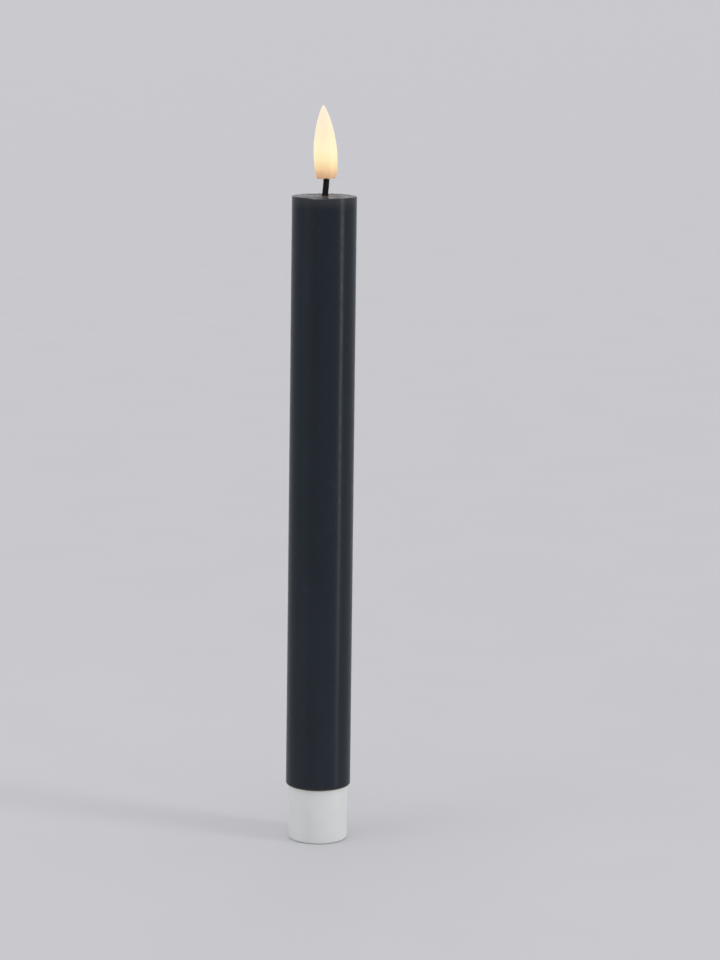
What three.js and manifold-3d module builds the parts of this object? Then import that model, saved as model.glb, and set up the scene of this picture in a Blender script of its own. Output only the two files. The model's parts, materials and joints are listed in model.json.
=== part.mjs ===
// A flameless LED dinner candle: a dyed wax sleeve over a moulded battery tube, with a lit
// plastic flame on a short black wick and a screw-on base that holds the slide switch.
// Millimetres, +Z up, origin at the centre of the foot. The front faces -Y and sees the
// wick's narrow side, with the flame leaning a little to the left.
import * as THREE from "three";
import { mergeVertices } from "three/addons/utils/BufferGeometryUtils.js";
import Module from "manifold-3d";

const wasm = await Module();
wasm.setup();

// ---------- driving dimensions ----------

// Wax sleeve: a hand-finished casting, a little narrower at its top.
const WAX_BOTTOM = 19;
const WAX_TOP = 219.5;
const WAX_BOTTOM_RADIUS = 11;
const WAX_TOP_RADIUS = 10.78;
const WAX_BOTTOM_FILLET = 0.4;
const WAX_RIM_FILLET = 0.6;
const WAX_TOP_THICKNESS = 4.9;
const WAX_BORE_RADIUS = 8.1;

// Core tube: battery bay below a ledge, electronics above it, threaded neck at the bottom.
const NECK_BOTTOM = 9.8;
const NECK_RADIUS = 7.4;
const TUBE_TOP = 213.2;
const TUBE_RADIUS = 7.8;
const BAY_RADIUS = 6.2;
const UPPER_BORE_RADIUS = 6.6;
const LEDGE = { radius: 5.7, bottom: 104.3, top: 105.8 };
const TUBE_FLANGE = { radius: 9.9, bottom: 19.2, top: 20.4 };
const FLANGE_CLEARANCE = { side: 0.4, top: 0.2 };

// Screw thread shared by the neck and the base cap: one right-hand start.
const THREAD_PITCH = 3;
const RIDGE_HEIGHT = 0.7;
const RIDGE_ROOT_WIDTH = 1.5;
const RIDGE_CREST_WIDTH = 0.8;
const RIDGE_SINK = 0.3;
const RIDGE_STEPS_PER_TURN = 24;
const NECK_THREAD = { start: 11.3, turns: 1.6 };
const CAP_THREAD = { start: NECK_THREAD.start + THREAD_PITCH / 2, turns: 1.1 };

// Base cap: the white foot of the candle.
const CAP_TOP = WAX_BOTTOM - 0.15;
const CAP_TOP_RADIUS = 10.25;
const CAP_FOOT_RADIUS = 10;
const CAP_FOOT_FILLET = 0.8;
const CAP_BORE_RADIUS = 8.4;
const CAP_RIM_CHAMFER = { outside: 0.2, inside: 0.3 };
const FOOT_RECESS = { radius: 6.2, depth: 0.7, chamfer: 0.3 };
const CAP_FLOOR_TOP = 2.2;
const BOSS_RADIUS = 1.6;

// Cells: two AAA in line, on the spring in the base.
const CELL_RADIUS = 5.25;
const CELL_LENGTH = 44.5;
const CELL_FILLET = 0.4;
const CELL_FOOT = { inset: 0.9, rise: 0.25 };
const CELL_CROWN = { inset: 1, drop: 0.35 };
const CELL_BUTTON = { radius: 1.9, height: 0.9, fillet: 0.3 };
const CELL_STACK_BOTTOM = 11.8;
const CELL_GAP = 0.05;
const CELL_STACK_TOP = CELL_STACK_BOTTOM + 2 * CELL_LENGTH + CELL_GAP;

// Base board with its contact ring, battery spring, screws and slide switch.
const BOARD_BOTTOM = 6.3;
const BOARD_TOP = 7.3;
const BOARD_RADIUS = 7.7;
const CONTACT_GAP = 0.1;
const CONTACT_RING = { inner: 6.4, outer: 7.5, top: 9.1, metal: 0.3 };
const SPRING = { baseRadius: 2.9, topRadius: 2.1, wireRadius: 0.3, turns: 4 };
const SCREW_Y = 4.8;
const SCREW = { shankRadius: 0.65, headRadius: 1.2, headHeight: 0.9, length: 4.3, tip: 0.25 };
const SCREW_CROSS = { halfLength: 0.75, halfWidth: 0.15, floor: 0.4 };
const SWITCH = { length: 8.6, width: 3.6, bottom: 2.5, top: 5.9 };
const KNOB = { length: 2.4, width: 2, tip: 0.3, travel: 2 };
const KNOB_GROOVE = { pitch: 0.6, width: 0.24, depth: 0.25 };
const SLIDER = { length: 3.8, width: 1.4, bottom: 2.7, top: 3.7 };
const STEM_LENGTH = 1.8;
const SLOT_CLEARANCE = 0.3;
const SLIDER_CLEARANCE = 0.2;
const SWITCH_PIN = { pitch: 2.5, halfLength: 0.25, halfWidth: 0.2, gap: 0.05 };

// Bay stop, battery contacts and supply wires.
const BAY_STOP = { radius: 6.05, bottom: 102.2, top: 104.2 };
const BUTTON_PLATE = { dishRadius: 1.2, slopeRadius: 2.2, radius: 3.4, metal: 0.3 };
const STRIP = { width: 2.4, inner: 5.62, thickness: 0.3, tabZ: 101, tabInner: 4.3 };
const WIRE_RADIUS = 0.55;
const POSITIVE_WIRE_X = -2.4;
const NEGATIVE_WIRE_Y = 4.9;
const SUPPLY_PAD_X = 1.6;

// Control board, hung from the plug that closes the tube, and what is mounted on it.
const CONTROL_BOARD = { width: 9, thickness: 1, bottom: 166, top: 204 };
const MOUNTING_GAP = 0.05;
const CHIP = { halfWidth: 1.95, thickness: 1.5, bottom: 181, top: 185.9 };
const CRYSTAL = { radius: 1, bottom: 173.5, top: 179.5, x: 2.2 };
const CAPACITOR = { radius: 2, bottom: 176, top: 182 };
const RESISTOR = { pitch: 2, firstX: -3, halfWidth: 0.4, thickness: 0.5, bottom: 188, top: 189.6 };
const RECEIVER = { halfWidth: 2.4, thickness: 2.9, bottom: 193.5, top: 199.5 };
const RECEIVER_LENS = { radius: 1.6, z: 197, sink: 0.2 };
const PLUG = { flangeRadius: 7.7, flangeBottom: 213.3, flangeTop: 214.3, radius: 6.4, bottom: 209 };
const PRONG = { bottom: 190, inner: 3.9, outer: 5.2, halfDepth: 1.5, slotHalf: 0.7, slotReach: 4.7 };

// Wick: an oval sleeve round the two lamp wires. It leans a little above the wax.
const WICK = { width: 2.7, depth: 2, wall: 0.38, bottom: 208.6, top: 226.4 };
const WICK_LEAN_START = 216;
const WICK_LEAN_END = 225.5;
const WICK_LEAN = { x: 0.6, y: 0.3 };
const WICK_HOLE_CLEARANCE = 0.3;
const LAMP_WIRE_RADIUS = 0.4;
const LAMP_WIRE_OFFSET = 0.5;
const LAMP_PAD_X = 1.4;

// Flame: a moulded drop that leans to the left on the wick.
const FLAME_BASE = 224.9;
const FLAME_HEIGHT = 24.1;
const FLAME_LEAN_DEG = 3;
const FLAME_RADIUS = 3.93;
const FLAME_BASE_RADIUS = 2.9;
const FLAME_BELLY = 7.4;
const FLAME_TIP = { radius: 0.45, length: 0.3 };
const LAMP = { radius: 1.5, flangeRadius: 1.7, bottom: 2.5, height: 4.8, flangeHeight: 0.8 };
const LAMP_CLEARANCE = 0.3;
const WICK_SOCKET_CLEARANCE = { width: 0.7, depth: 0.8 };

// Facets round a full turn.
const SMALL = 12;
const COARSE = 24;
const MEDIUM = 36;
const FINE = 48;

// ---------- materials ----------

const paint = (color, roughness, metalness = 0) =>
  new THREE.MeshStandardMaterial({ color, roughness, metalness });

const WAX = paint(0x2b2f36, 0.5);
const WHITE_PLASTIC = paint(0xe8eae9, 0.4);
const FLAME_PLASTIC = paint(0xffe9b8, 0.6);
const BLACK_SLEEVE = paint(0x141414, 0.6);
const CLEAR_LENS = paint(0xfff4d6, 0.2);
const NICKEL = paint(0xc9c7c0, 0.3, 1);
const STEEL = paint(0xa7a9ac, 0.35, 1);
const GREEN_BOARD = paint(0x1f6b3f, 0.5);
const BLACK_MOULDING = paint(0x1b1b1c, 0.5);
const CELL_WRAP = paint(0x30343b, 0.4, 0.6);
const RED_WIRE = paint(0xb02020, 0.5);
const BLACK_WIRE = paint(0x1a1a1a, 0.5);
const CERAMIC_CHIP = paint(0x2a2a2e, 0.5);

// ---------- shape helpers ----------

// A profile in (radius, height), turned round +Z.
function turned(points, facets) {
  const outline = THREE.ShapeUtils.area(points) > 0 ? points : [...points].reverse();
  const onAxis = points[0].x === 0 && points[points.length - 1].x === 0;
  const closed = onAxis ? outline : [...outline, outline[0].clone()];
  return new THREE.LatheGeometry(closed, facets).rotateX(Math.PI / 2);
}

// The points of a THREE.Path, without repeats.
function pathPoints(path, divisions = 6) {
  return path.getPoints(divisions).filter((p, i, all) => i === 0 || p.distanceTo(all[i - 1]) > 1e-4);
}

const polygon = (...pairs) => pairs.map(([r, z]) => new THREE.Vector2(r, z));

// A ring or disc of rectangular section; an inner radius of 0 gives a disc.
function disc(inner, outer, bottom, top, facets) {
  return turned(polygon([inner, bottom], [outer, bottom], [outer, top], [inner, top]), facets);
}

// A box between two corners.
function block(x0, x1, y0, y1, z0, z1) {
  return new THREE.BoxGeometry(x1 - x0, y1 - y0, z1 - z0).translate(
    (x0 + x1) / 2,
    (y0 + y1) / 2,
    (z0 + z1) / 2,
  );
}

// A round bar whose axis runs along +Z through (x, y).
function bar(radius, bottom, top, x, y, facets = COARSE) {
  return disc(0, radius, bottom, top, facets).translate(x, y, 0);
}

// An oval with straight sides and round ends, its long side along X.
function oval(width, depth) {
  const reach = (width - depth) / 2;
  const shape = new THREE.Shape();
  shape.absarc(reach, 0, depth / 2, -Math.PI / 2, Math.PI / 2);
  shape.absarc(-reach, 0, depth / 2, Math.PI / 2, (3 * Math.PI) / 2);
  return shape;
}

// An upright oval bar, its long side along Y like the wick's.
function ovalBar(width, depth, bottom, top) {
  return new THREE.ExtrudeGeometry(oval(width, depth), {
    depth: top - bottom,
    bevelEnabled: false,
    curveSegments: 3,
  })
    .rotateZ(Math.PI / 2)
    .translate(0, 0, bottom);
}

// A round section for wires and springs.
function roundSection(radius, sides) {
  const corners = [];
  for (let i = 0; i < sides; i++) {
    const a = (2 * Math.PI * i) / sides;
    corners.push(new THREE.Vector2(radius * Math.cos(a), radius * Math.sin(a)));
  }
  return new THREE.Shape(corners);
}

function alongCurve(section, curve, steps) {
  return new THREE.ExtrudeGeometry(section, {
    steps,
    bevelEnabled: false,
    extrudePath: curve,
    curveSegments: 3,
  });
}

// A wire through a list of points.
function wire(points, radius, steps) {
  const stops = points.map((p) => new THREE.Vector3(...p));
  const curve = new THREE.CatmullRomCurve3(stops, false, "centripetal");
  return alongCurve(roundSection(radius, 6), curve, steps);
}

// A geometry as a manifold-3d solid, and back.
function solid(geometry) {
  const g = geometry.index ? geometry.toNonIndexed() : geometry.clone();
  g.deleteAttribute("normal");
  g.deleteAttribute("uv");
  const merged = mergeVertices(g, 1e-3);
  return new wasm.Manifold(
    new wasm.Mesh({
      numProp: 3,
      vertProperties: merged.attributes.position.array,
      triVerts: new Uint32Array(merged.index.array),
    }),
  );
}

function geometryOf(manifold) {
  const made = manifold.getMesh();
  const g = new THREE.BufferGeometry();
  g.setAttribute("position", new THREE.BufferAttribute(made.vertProperties, 3));
  g.setIndex(new THREE.BufferAttribute(made.triVerts, 1));
  g.computeVertexNormals();
  return g;
}

const joined = (...geometries) => geometryOf(geometries.map(solid).reduce((a, b) => a.add(b)));

const cut = (geometry, ...tools) =>
  geometryOf(tools.map(solid).reduce((left, tool) => left.subtract(tool), solid(geometry)));

// The same surface with its faces turned round.
function flipped(geometry) {
  const g = geometry.index ? geometry.toNonIndexed() : geometry.clone();
  const at = g.attributes.position;
  const a = new THREE.Vector3();
  const b = new THREE.Vector3();
  for (let i = 0; i < at.count; i += 3) {
    a.fromBufferAttribute(at, i);
    b.fromBufferAttribute(at, i + 1);
    at.setXYZ(i, b.x, b.y, b.z);
    at.setXYZ(i + 1, a.x, a.y, a.z);
  }
  return g;
}

// A helical ridge. side +1 stands out from the radius, and -1 stands in from it.
// A straight bar is wrapped round the axis as it climbs, and wrapping it outward turns its
// faces inside out.
function threadRidge(radius, side, { start, turns }) {
  const section = new THREE.Shape();
  section.moveTo(-RIDGE_SINK, -RIDGE_ROOT_WIDTH / 2);
  section.lineTo(0, -RIDGE_ROOT_WIDTH / 2);
  section.lineTo(RIDGE_HEIGHT, -RIDGE_CREST_WIDTH / 2);
  section.lineTo(RIDGE_HEIGHT, RIDGE_CREST_WIDTH / 2);
  section.lineTo(0, RIDGE_ROOT_WIDTH / 2);
  section.lineTo(-RIDGE_SINK, RIDGE_ROOT_WIDTH / 2);
  const steps = Math.round(turns * RIDGE_STEPS_PER_TURN);
  const straight = new THREE.ExtrudeGeometry(section, { steps, depth: 1, bevelEnabled: false });
  const at = straight.attributes.position;
  for (let i = 0; i < at.count; i++) {
    const angle = at.getZ(i) * turns * 2 * Math.PI;
    const r = radius + side * at.getX(i);
    const climb = start + (THREAD_PITCH * angle) / (2 * Math.PI) + at.getY(i);
    at.setXYZ(i, r * Math.cos(angle), r * Math.sin(angle), climb);
  }
  return side > 0 ? flipped(straight) : straight;
}

const root = new THREE.Group();

function add(name, geometry, material, parent = root) {
  const mesh = new THREE.Mesh(geometry, material);
  mesh.name = name;
  parent.add(mesh);
  return mesh;
}

// ---------- wax sleeve ----------

function waxSleeve() {
  const ceiling = WAX_TOP - WAX_TOP_THICKNESS;
  const pocketRadius = TUBE_FLANGE.radius + FLANGE_CLEARANCE.side;
  const pocketTop = TUBE_FLANGE.top + FLANGE_CLEARANCE.top;
  const foot = WAX_BOTTOM_RADIUS - WAX_BOTTOM_FILLET;
  const path = new THREE.Path();
  path.moveTo(0, ceiling);
  path.lineTo(WAX_BORE_RADIUS, ceiling);
  path.lineTo(WAX_BORE_RADIUS, pocketTop);
  path.lineTo(pocketRadius, pocketTop);
  path.lineTo(pocketRadius, WAX_BOTTOM);
  path.absarc(foot, WAX_BOTTOM + WAX_BOTTOM_FILLET, WAX_BOTTOM_FILLET, -Math.PI / 2, 0);
  path.absarc(WAX_TOP_RADIUS - WAX_RIM_FILLET, WAX_TOP - WAX_RIM_FILLET, WAX_RIM_FILLET, 0, Math.PI / 2);
  path.lineTo(0, WAX_TOP);
  const width = WICK.width + 2 * WICK_HOLE_CLEARANCE;
  const depth = WICK.depth + 2 * WICK_HOLE_CLEARANCE;
  return cut(turned(pathPoints(path, 2), FINE), ovalBar(width, depth, ceiling - 1, WAX_TOP + 1));
}
add("wax_sleeve", waxSleeve(), WAX);

// ---------- core tube ----------

function coreTube() {
  const { radius, bottom, top } = TUBE_FLANGE;
  const profile = polygon(
    [BAY_RADIUS, NECK_BOTTOM],
    [NECK_RADIUS, NECK_BOTTOM],
    [NECK_RADIUS, bottom],
    [radius, bottom],
    [radius, top],
    [TUBE_RADIUS, top],
    [TUBE_RADIUS, TUBE_TOP],
    [UPPER_BORE_RADIUS, TUBE_TOP],
    [UPPER_BORE_RADIUS, LEDGE.top],
    [LEDGE.radius, LEDGE.top],
    [LEDGE.radius, LEDGE.bottom],
    [BAY_RADIUS, LEDGE.bottom],
  );
  return joined(turned(profile, MEDIUM), threadRidge(NECK_RADIUS, 1, NECK_THREAD));
}
add("core_tube", coreTube(), WHITE_PLASTIC);

// ---------- cells ----------

// One AAA cell standing on z = 0, with its button on top.
function cell() {
  const shoulder = CELL_LENGTH - CELL_BUTTON.height;
  const crown = shoulder - CELL_CROWN.drop;
  const wall = CELL_RADIUS - CELL_FILLET;
  const button = CELL_BUTTON.radius - CELL_BUTTON.fillet;
  const path = new THREE.Path();
  path.moveTo(0, 0);
  path.lineTo(CELL_RADIUS - CELL_FOOT.inset, 0);
  path.lineTo(CELL_RADIUS - 2 * CELL_FILLET, CELL_FOOT.rise);
  path.absarc(wall, CELL_FOOT.rise + CELL_FILLET, CELL_FILLET, -Math.PI / 2, 0);
  path.absarc(wall, shoulder - CELL_FILLET, CELL_FILLET, 0, Math.PI / 2);
  path.lineTo(CELL_RADIUS - CELL_CROWN.inset, crown);
  path.lineTo(CELL_BUTTON.radius, crown);
  path.absarc(button, CELL_LENGTH - CELL_BUTTON.fillet, CELL_BUTTON.fillet, 0, Math.PI / 2);
  path.lineTo(0, CELL_LENGTH);
  return turned(pathPoints(path, 1), COARSE);
}
["lower_battery", "upper_battery"].forEach((name, i) => {
  add(name, cell(), CELL_WRAP).position.z = CELL_STACK_BOTTOM + i * (CELL_LENGTH + CELL_GAP);
});

// ---------- base cap ----------

// One bar for each of the two screws.
function atScrews(radius, bottom, top, facets) {
  return [-SCREW_Y, SCREW_Y].map((y) => bar(radius, bottom, top, 0, y, facets));
}

function baseCap() {
  const { outside, inside } = CAP_RIM_CHAMFER;
  const path = new THREE.Path();
  path.moveTo(0, FOOT_RECESS.depth);
  path.lineTo(FOOT_RECESS.radius - FOOT_RECESS.chamfer, FOOT_RECESS.depth);
  path.lineTo(FOOT_RECESS.radius, FOOT_RECESS.depth - FOOT_RECESS.chamfer);
  path.lineTo(FOOT_RECESS.radius, 0);
  path.absarc(CAP_FOOT_RADIUS - CAP_FOOT_FILLET, CAP_FOOT_FILLET, CAP_FOOT_FILLET, -Math.PI / 2, 0);
  path.lineTo(CAP_TOP_RADIUS, CAP_TOP - outside);
  path.lineTo(CAP_TOP_RADIUS - outside, CAP_TOP);
  path.lineTo(CAP_BORE_RADIUS + inside, CAP_TOP);
  path.lineTo(CAP_BORE_RADIUS, CAP_TOP - inside);
  path.lineTo(CAP_BORE_RADIUS, CAP_FLOOR_TOP);
  path.lineTo(0, CAP_FLOOR_TOP);
  const cup = turned(pathPoints(path, 2), FINE);
  const bosses = atScrews(BOSS_RADIUS, CAP_FLOOR_TOP - 0.2, BOARD_BOTTOM - 0.1, COARSE);
  const pilots = atScrews(SCREW.shankRadius + 0.1, CAP_FLOOR_TOP - 0.1, BOARD_BOTTOM + 1, SMALL);
  const halfLength = (KNOB.length + KNOB.travel) / 2 + SLOT_CLEARANCE;
  const halfWidth = KNOB.width / 2 + SLOT_CLEARANCE;
  const slot = block(-halfLength, halfLength, -halfWidth, halfWidth, -1, CAP_FLOOR_TOP + 1);
  const ridge = threadRidge(CAP_BORE_RADIUS, -1, CAP_THREAD);
  return cut(joined(cup, ...bosses, ridge), slot, ...pilots);
}
add("base_cap", baseCap(), WHITE_PLASTIC);

function baseBoard() {
  const holes = atScrews(SCREW.shankRadius + 0.15, BOARD_BOTTOM - 1, BOARD_TOP + 1, SMALL);
  return cut(disc(0, BOARD_RADIUS, BOARD_BOTTOM, BOARD_TOP, MEDIUM), ...holes);
}
add("base_board", baseBoard(), GREEN_BOARD);

// A pressed ring of C section that the return strip's foot bears on.
function contactRing() {
  const { inner, outer, top, metal } = CONTACT_RING;
  const bottom = BOARD_TOP + CONTACT_GAP;
  return turned(
    polygon(
      [inner, bottom],
      [outer, bottom],
      [outer, top],
      [inner, top],
      [inner, top - metal],
      [outer - metal, top - metal],
      [outer - metal, bottom + metal],
      [inner, bottom + metal],
    ),
    MEDIUM,
  );
}
add("contact_ring", contactRing(), NICKEL);

// A conical helix, wide at the board and narrow under the cell.
class ConicalHelix extends THREE.Curve {
  getPoint(t, target = new THREE.Vector3()) {
    const low = BOARD_TOP + CONTACT_GAP + SPRING.wireRadius;
    const high = CELL_STACK_BOTTOM - CONTACT_GAP - SPRING.wireRadius;
    const r = THREE.MathUtils.lerp(SPRING.baseRadius, SPRING.topRadius, t);
    const angle = 2 * Math.PI * SPRING.turns * t;
    return target.set(r * Math.cos(angle), r * Math.sin(angle), THREE.MathUtils.lerp(low, high, t));
  }
}
add("battery_spring", alongCurve(roundSection(SPRING.wireRadius, 6), new ConicalHelix(), 64), NICKEL);

// A small self-tapping screw, driven down through the board at (0, y).
function baseScrew(y) {
  const { shankRadius, headRadius, headHeight, length, tip } = SCREW;
  const { halfLength, halfWidth, floor } = SCREW_CROSS;
  const seat = BOARD_TOP + CONTACT_GAP;
  const end = seat - length;
  const profile = polygon(
    [0, end],
    [tip, end],
    [shankRadius, end + 0.7],
    [shankRadius, seat],
    [headRadius, seat],
    [headRadius, seat + 0.5],
    [headRadius - 0.35, seat + headHeight],
    [0, seat + headHeight],
  );
  const cross = [
    block(-halfLength, halfLength, -halfWidth, halfWidth, seat + floor, seat + 2),
    block(-halfWidth, halfWidth, -halfLength, halfLength, seat + floor, seat + 2),
  ];
  return cut(turned(profile, SMALL), ...cross).translate(0, y, 0);
}
add("base_screw_front", baseScrew(-SCREW_Y), STEEL);
add("base_screw_rear", baseScrew(SCREW_Y), STEEL);

// ---------- slide switch ----------

function switchHousing() {
  const { length, width, bottom, top } = SWITCH;
  const body = block(-length / 2, length / 2, -width / 2, width / 2, bottom, top);
  const half = (SLIDER.length + KNOB.travel) / 2 + SLOT_CLEARANCE;
  const side = SLIDER.width / 2 + SLIDER_CLEARANCE;
  const channel = block(-half, half, -side, side, bottom - 1, SLIDER.top + SLIDER_CLEARANCE);
  return cut(body, channel);
}
add("switch_housing", switchHousing(), STEEL);

// The slider in the housing with its finger knob, shown in the ON position.
function switchKnob() {
  const x = KNOB.travel / 2;
  const centred = (length, width, bottom, top) =>
    block(x - length / 2, x + length / 2, -width / 2, width / 2, bottom, top);
  const slider = centred(SLIDER.length, SLIDER.width, SLIDER.bottom, SLIDER.top);
  const knob = centred(KNOB.length, KNOB.width, KNOB.tip, CAP_FLOOR_TOP - 0.1);
  const stem = centred(STEM_LENGTH, SLIDER.width, CAP_FLOOR_TOP - 0.2, SLIDER.bottom + 0.1);
  const { pitch, width, depth } = KNOB_GROOVE;
  const grooves = [-pitch, 0, pitch].map((dx) =>
    centred(width, KNOB.width + 1, KNOB.tip - 1, KNOB.tip + depth).translate(dx, 0, 0),
  );
  return cut(joined(slider, stem, knob), ...grooves);
}
add("switch_knob", switchKnob(), BLACK_MOULDING);

// Three short pins from the housing up to the base board.
function switchPin(x) {
  const { halfLength, halfWidth, gap } = SWITCH_PIN;
  const low = SWITCH.top + gap;
  return block(x - halfLength, x + halfLength, -halfWidth, halfWidth, low, BOARD_BOTTOM - gap);
}
[-SWITCH_PIN.pitch, 0, SWITCH_PIN.pitch].forEach((x, i) => {
  add(`switch_pin_${i + 1}`, switchPin(x), NICKEL);
});

// ---------- battery contacts ----------

function bayStop() {
  const hole = bar(WIRE_RADIUS + 0.2, BAY_STOP.bottom - 1, BAY_STOP.top + 1, POSITIVE_WIRE_X, 0, SMALL);
  const notch = block(-0.9, 0.9, NEGATIVE_WIRE_Y - 0.8, 8, BAY_STOP.bottom - 1, BAY_STOP.top + 1);
  return cut(disc(0, BAY_STOP.radius, BAY_STOP.bottom, BAY_STOP.top, MEDIUM), hole, notch);
}
add("bay_stop", bayStop(), WHITE_PLASTIC);

// A dished plate over the top cell's button.
function positiveContact() {
  const { dishRadius, slopeRadius, radius, metal } = BUTTON_PLATE;
  const low = CELL_STACK_TOP + CONTACT_GAP;
  const high = BAY_STOP.bottom - CONTACT_GAP;
  return turned(
    polygon(
      [0, low],
      [dishRadius, low],
      [slopeRadius, high - metal],
      [radius, high - metal],
      [radius, high],
      [slopeRadius - 0.2, high],
      [dishRadius - 0.2, low + metal],
      [0, low + metal],
    ),
    COARSE,
  );
}
add("positive_contact", positiveContact(), NICKEL);

// A strip up the side of the bay, with a foot under the neck and a tab over the top cell.
function returnStrip() {
  const { width, inner, thickness, tabZ, tabInner } = STRIP;
  const footZ = CONTACT_RING.top + 0.15;
  const footReach = NECK_RADIUS - 0.2;
  const outer = inner + thickness;
  const side = polygon(
    [inner, footZ],
    [footReach, footZ],
    [footReach, footZ + thickness],
    [outer, footZ + thickness],
    [outer, tabZ + thickness],
    [tabInner, tabZ + thickness],
    [tabInner, tabZ],
    [inner, tabZ],
  );
  return new THREE.ExtrudeGeometry(new THREE.Shape(side), { depth: width, bevelEnabled: false })
    .translate(0, 0, -width / 2)
    .rotateY(Math.PI / 2)
    .rotateX(Math.PI / 2);
}
add("return_strip", returnStrip(), NICKEL);

// Supply wires from the two contacts up to the control board's lower edge.
const PAD_Y = -CONTROL_BOARD.thickness / 2 - WIRE_RADIUS - 0.1;
const SUPPLY_END_Z = CONTROL_BOARD.bottom + 3;
const positiveRoute = [
  [POSITIVE_WIRE_X, 0, BAY_STOP.bottom + 0.1],
  [POSITIVE_WIRE_X, 0, BAY_STOP.top + 1],
  [-3.2, -0.6, 118],
  [-1.6, 1.4, 136],
  [-2.6, -0.8, 152],
  [-SUPPLY_PAD_X, PAD_Y, SUPPLY_END_Z - 5],
  [-SUPPLY_PAD_X, PAD_Y, SUPPLY_END_Z],
];
const negativeRoute = [
  [0, NEGATIVE_WIRE_Y, STRIP.tabZ + STRIP.thickness + 0.1],
  [0, NEGATIVE_WIRE_Y, BAY_STOP.top + 1],
  [1.6, 3.2, 114],
  [3, 0.6, 132],
  [2.2, -1.4, 150],
  [SUPPLY_PAD_X, PAD_Y, SUPPLY_END_Z - 5],
  [SUPPLY_PAD_X, PAD_Y, SUPPLY_END_Z],
];
add("supply_wire_positive", wire(positiveRoute, WIRE_RADIUS, 22), RED_WIRE);
add("supply_wire_negative", wire(negativeRoute, WIRE_RADIUS, 22), BLACK_WIRE);

// ---------- control board ----------

const BOARD_FACE = -CONTROL_BOARD.thickness / 2 - MOUNTING_GAP;
const BOARD_BACK = CONTROL_BOARD.thickness / 2 + MOUNTING_GAP;

function controlBoard() {
  const { width, thickness, bottom, top } = CONTROL_BOARD;
  return block(-width / 2, width / 2, -thickness / 2, thickness / 2, bottom, top);
}
add("control_board", controlBoard(), GREEN_BOARD);

// A block on the front of the board, centred on x.
function onFace(x, { halfWidth, thickness, bottom, top }) {
  return block(x - halfWidth, x + halfWidth, BOARD_FACE - thickness, BOARD_FACE, bottom, top);
}
add("controller_chip", onFace(0, CHIP), CERAMIC_CHIP);
for (let i = 0; i < 3; i++) {
  add(`resistor_${i + 1}`, onFace(RESISTOR.firstX + i * RESISTOR.pitch, RESISTOR), CERAMIC_CHIP);
}

function timingCrystal() {
  const { radius, bottom, top, x } = CRYSTAL;
  return bar(radius, bottom, top, x, BOARD_FACE - radius, SMALL);
}
add("timing_crystal", timingCrystal(), STEEL);

function smoothingCapacitor() {
  const { radius, bottom, top } = CAPACITOR;
  return bar(radius, bottom, top, 0, BOARD_BACK + radius, COARSE);
}
add("smoothing_capacitor", smoothingCapacitor(), BLACK_MOULDING);

// A moulded receiver with a domed lens that looks to the front.
function infraredReceiver() {
  const { radius, z, sink } = RECEIVER_LENS;
  const dome = new THREE.SphereGeometry(radius, SMALL, 6);
  return joined(onFace(0, RECEIVER), dome.translate(0, BOARD_FACE - RECEIVER.thickness + sink, z));
}
add("infrared_receiver", infraredReceiver(), BLACK_MOULDING);

// ---------- plug that closes the tube and carries the control board ----------

function tubePlug() {
  const flange = disc(0, PLUG.flangeRadius, PLUG.flangeBottom, PLUG.flangeTop, MEDIUM);
  const body = disc(0, PLUG.radius, PLUG.bottom, PLUG.flangeBottom + 0.1, MEDIUM);
  const prongs = [-1, 1].map((side) => {
    const xs = [side * PRONG.inner, side * PRONG.outer].sort((a, b) => a - b);
    return block(xs[0], xs[1], -PRONG.halfDepth, PRONG.halfDepth, PRONG.bottom, PLUG.bottom + 0.1);
  });
  const { slotReach, slotHalf } = PRONG;
  const slotTop = CONTROL_BOARD.top + 0.3;
  const boardSlot = block(-slotReach, slotReach, -slotHalf, slotHalf, PRONG.bottom - 1, slotTop);
  const wickHole = ovalBar(WICK.width + 0.3, WICK.depth + 0.3, PLUG.bottom - 1, PLUG.flangeTop + 1);
  return cut(joined(flange, body, ...prongs), boardSlot, wickHole);
}
add("tube_plug", tubePlug(), WHITE_PLASTIC);

// ---------- wick ----------

// How far the wick has leaned at height z.
function lean(z) {
  const share = THREE.MathUtils.smoothstep(z, WICK_LEAN_START, WICK_LEAN_END);
  return new THREE.Vector2(WICK_LEAN.x * share, WICK_LEAN.y * share);
}

// The line of the wick, or of a wire beside it.
class WickLine extends THREE.Curve {
  constructor(bottom, top, aside = 0) {
    super();
    this.bottom = bottom;
    this.top = top;
    this.aside = aside;
  }

  getPoint(t, target = new THREE.Vector3()) {
    const z = THREE.MathUtils.lerp(this.bottom, this.top, t);
    const { x, y } = lean(z);
    return target.set(x, y + this.aside, z);
  }
}

// The extrusion carries the section's X axis along Y, which sets the oval's long side there.
function wickSleeve() {
  const section = oval(WICK.width, WICK.depth);
  section.holes.push(oval(WICK.width - 2 * WICK.wall, WICK.depth - 2 * WICK.wall));
  return alongCurve(section, new WickLine(WICK.bottom, WICK.top), 10);
}
add("wick_sleeve", wickSleeve(), BLACK_SLEEVE);

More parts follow.
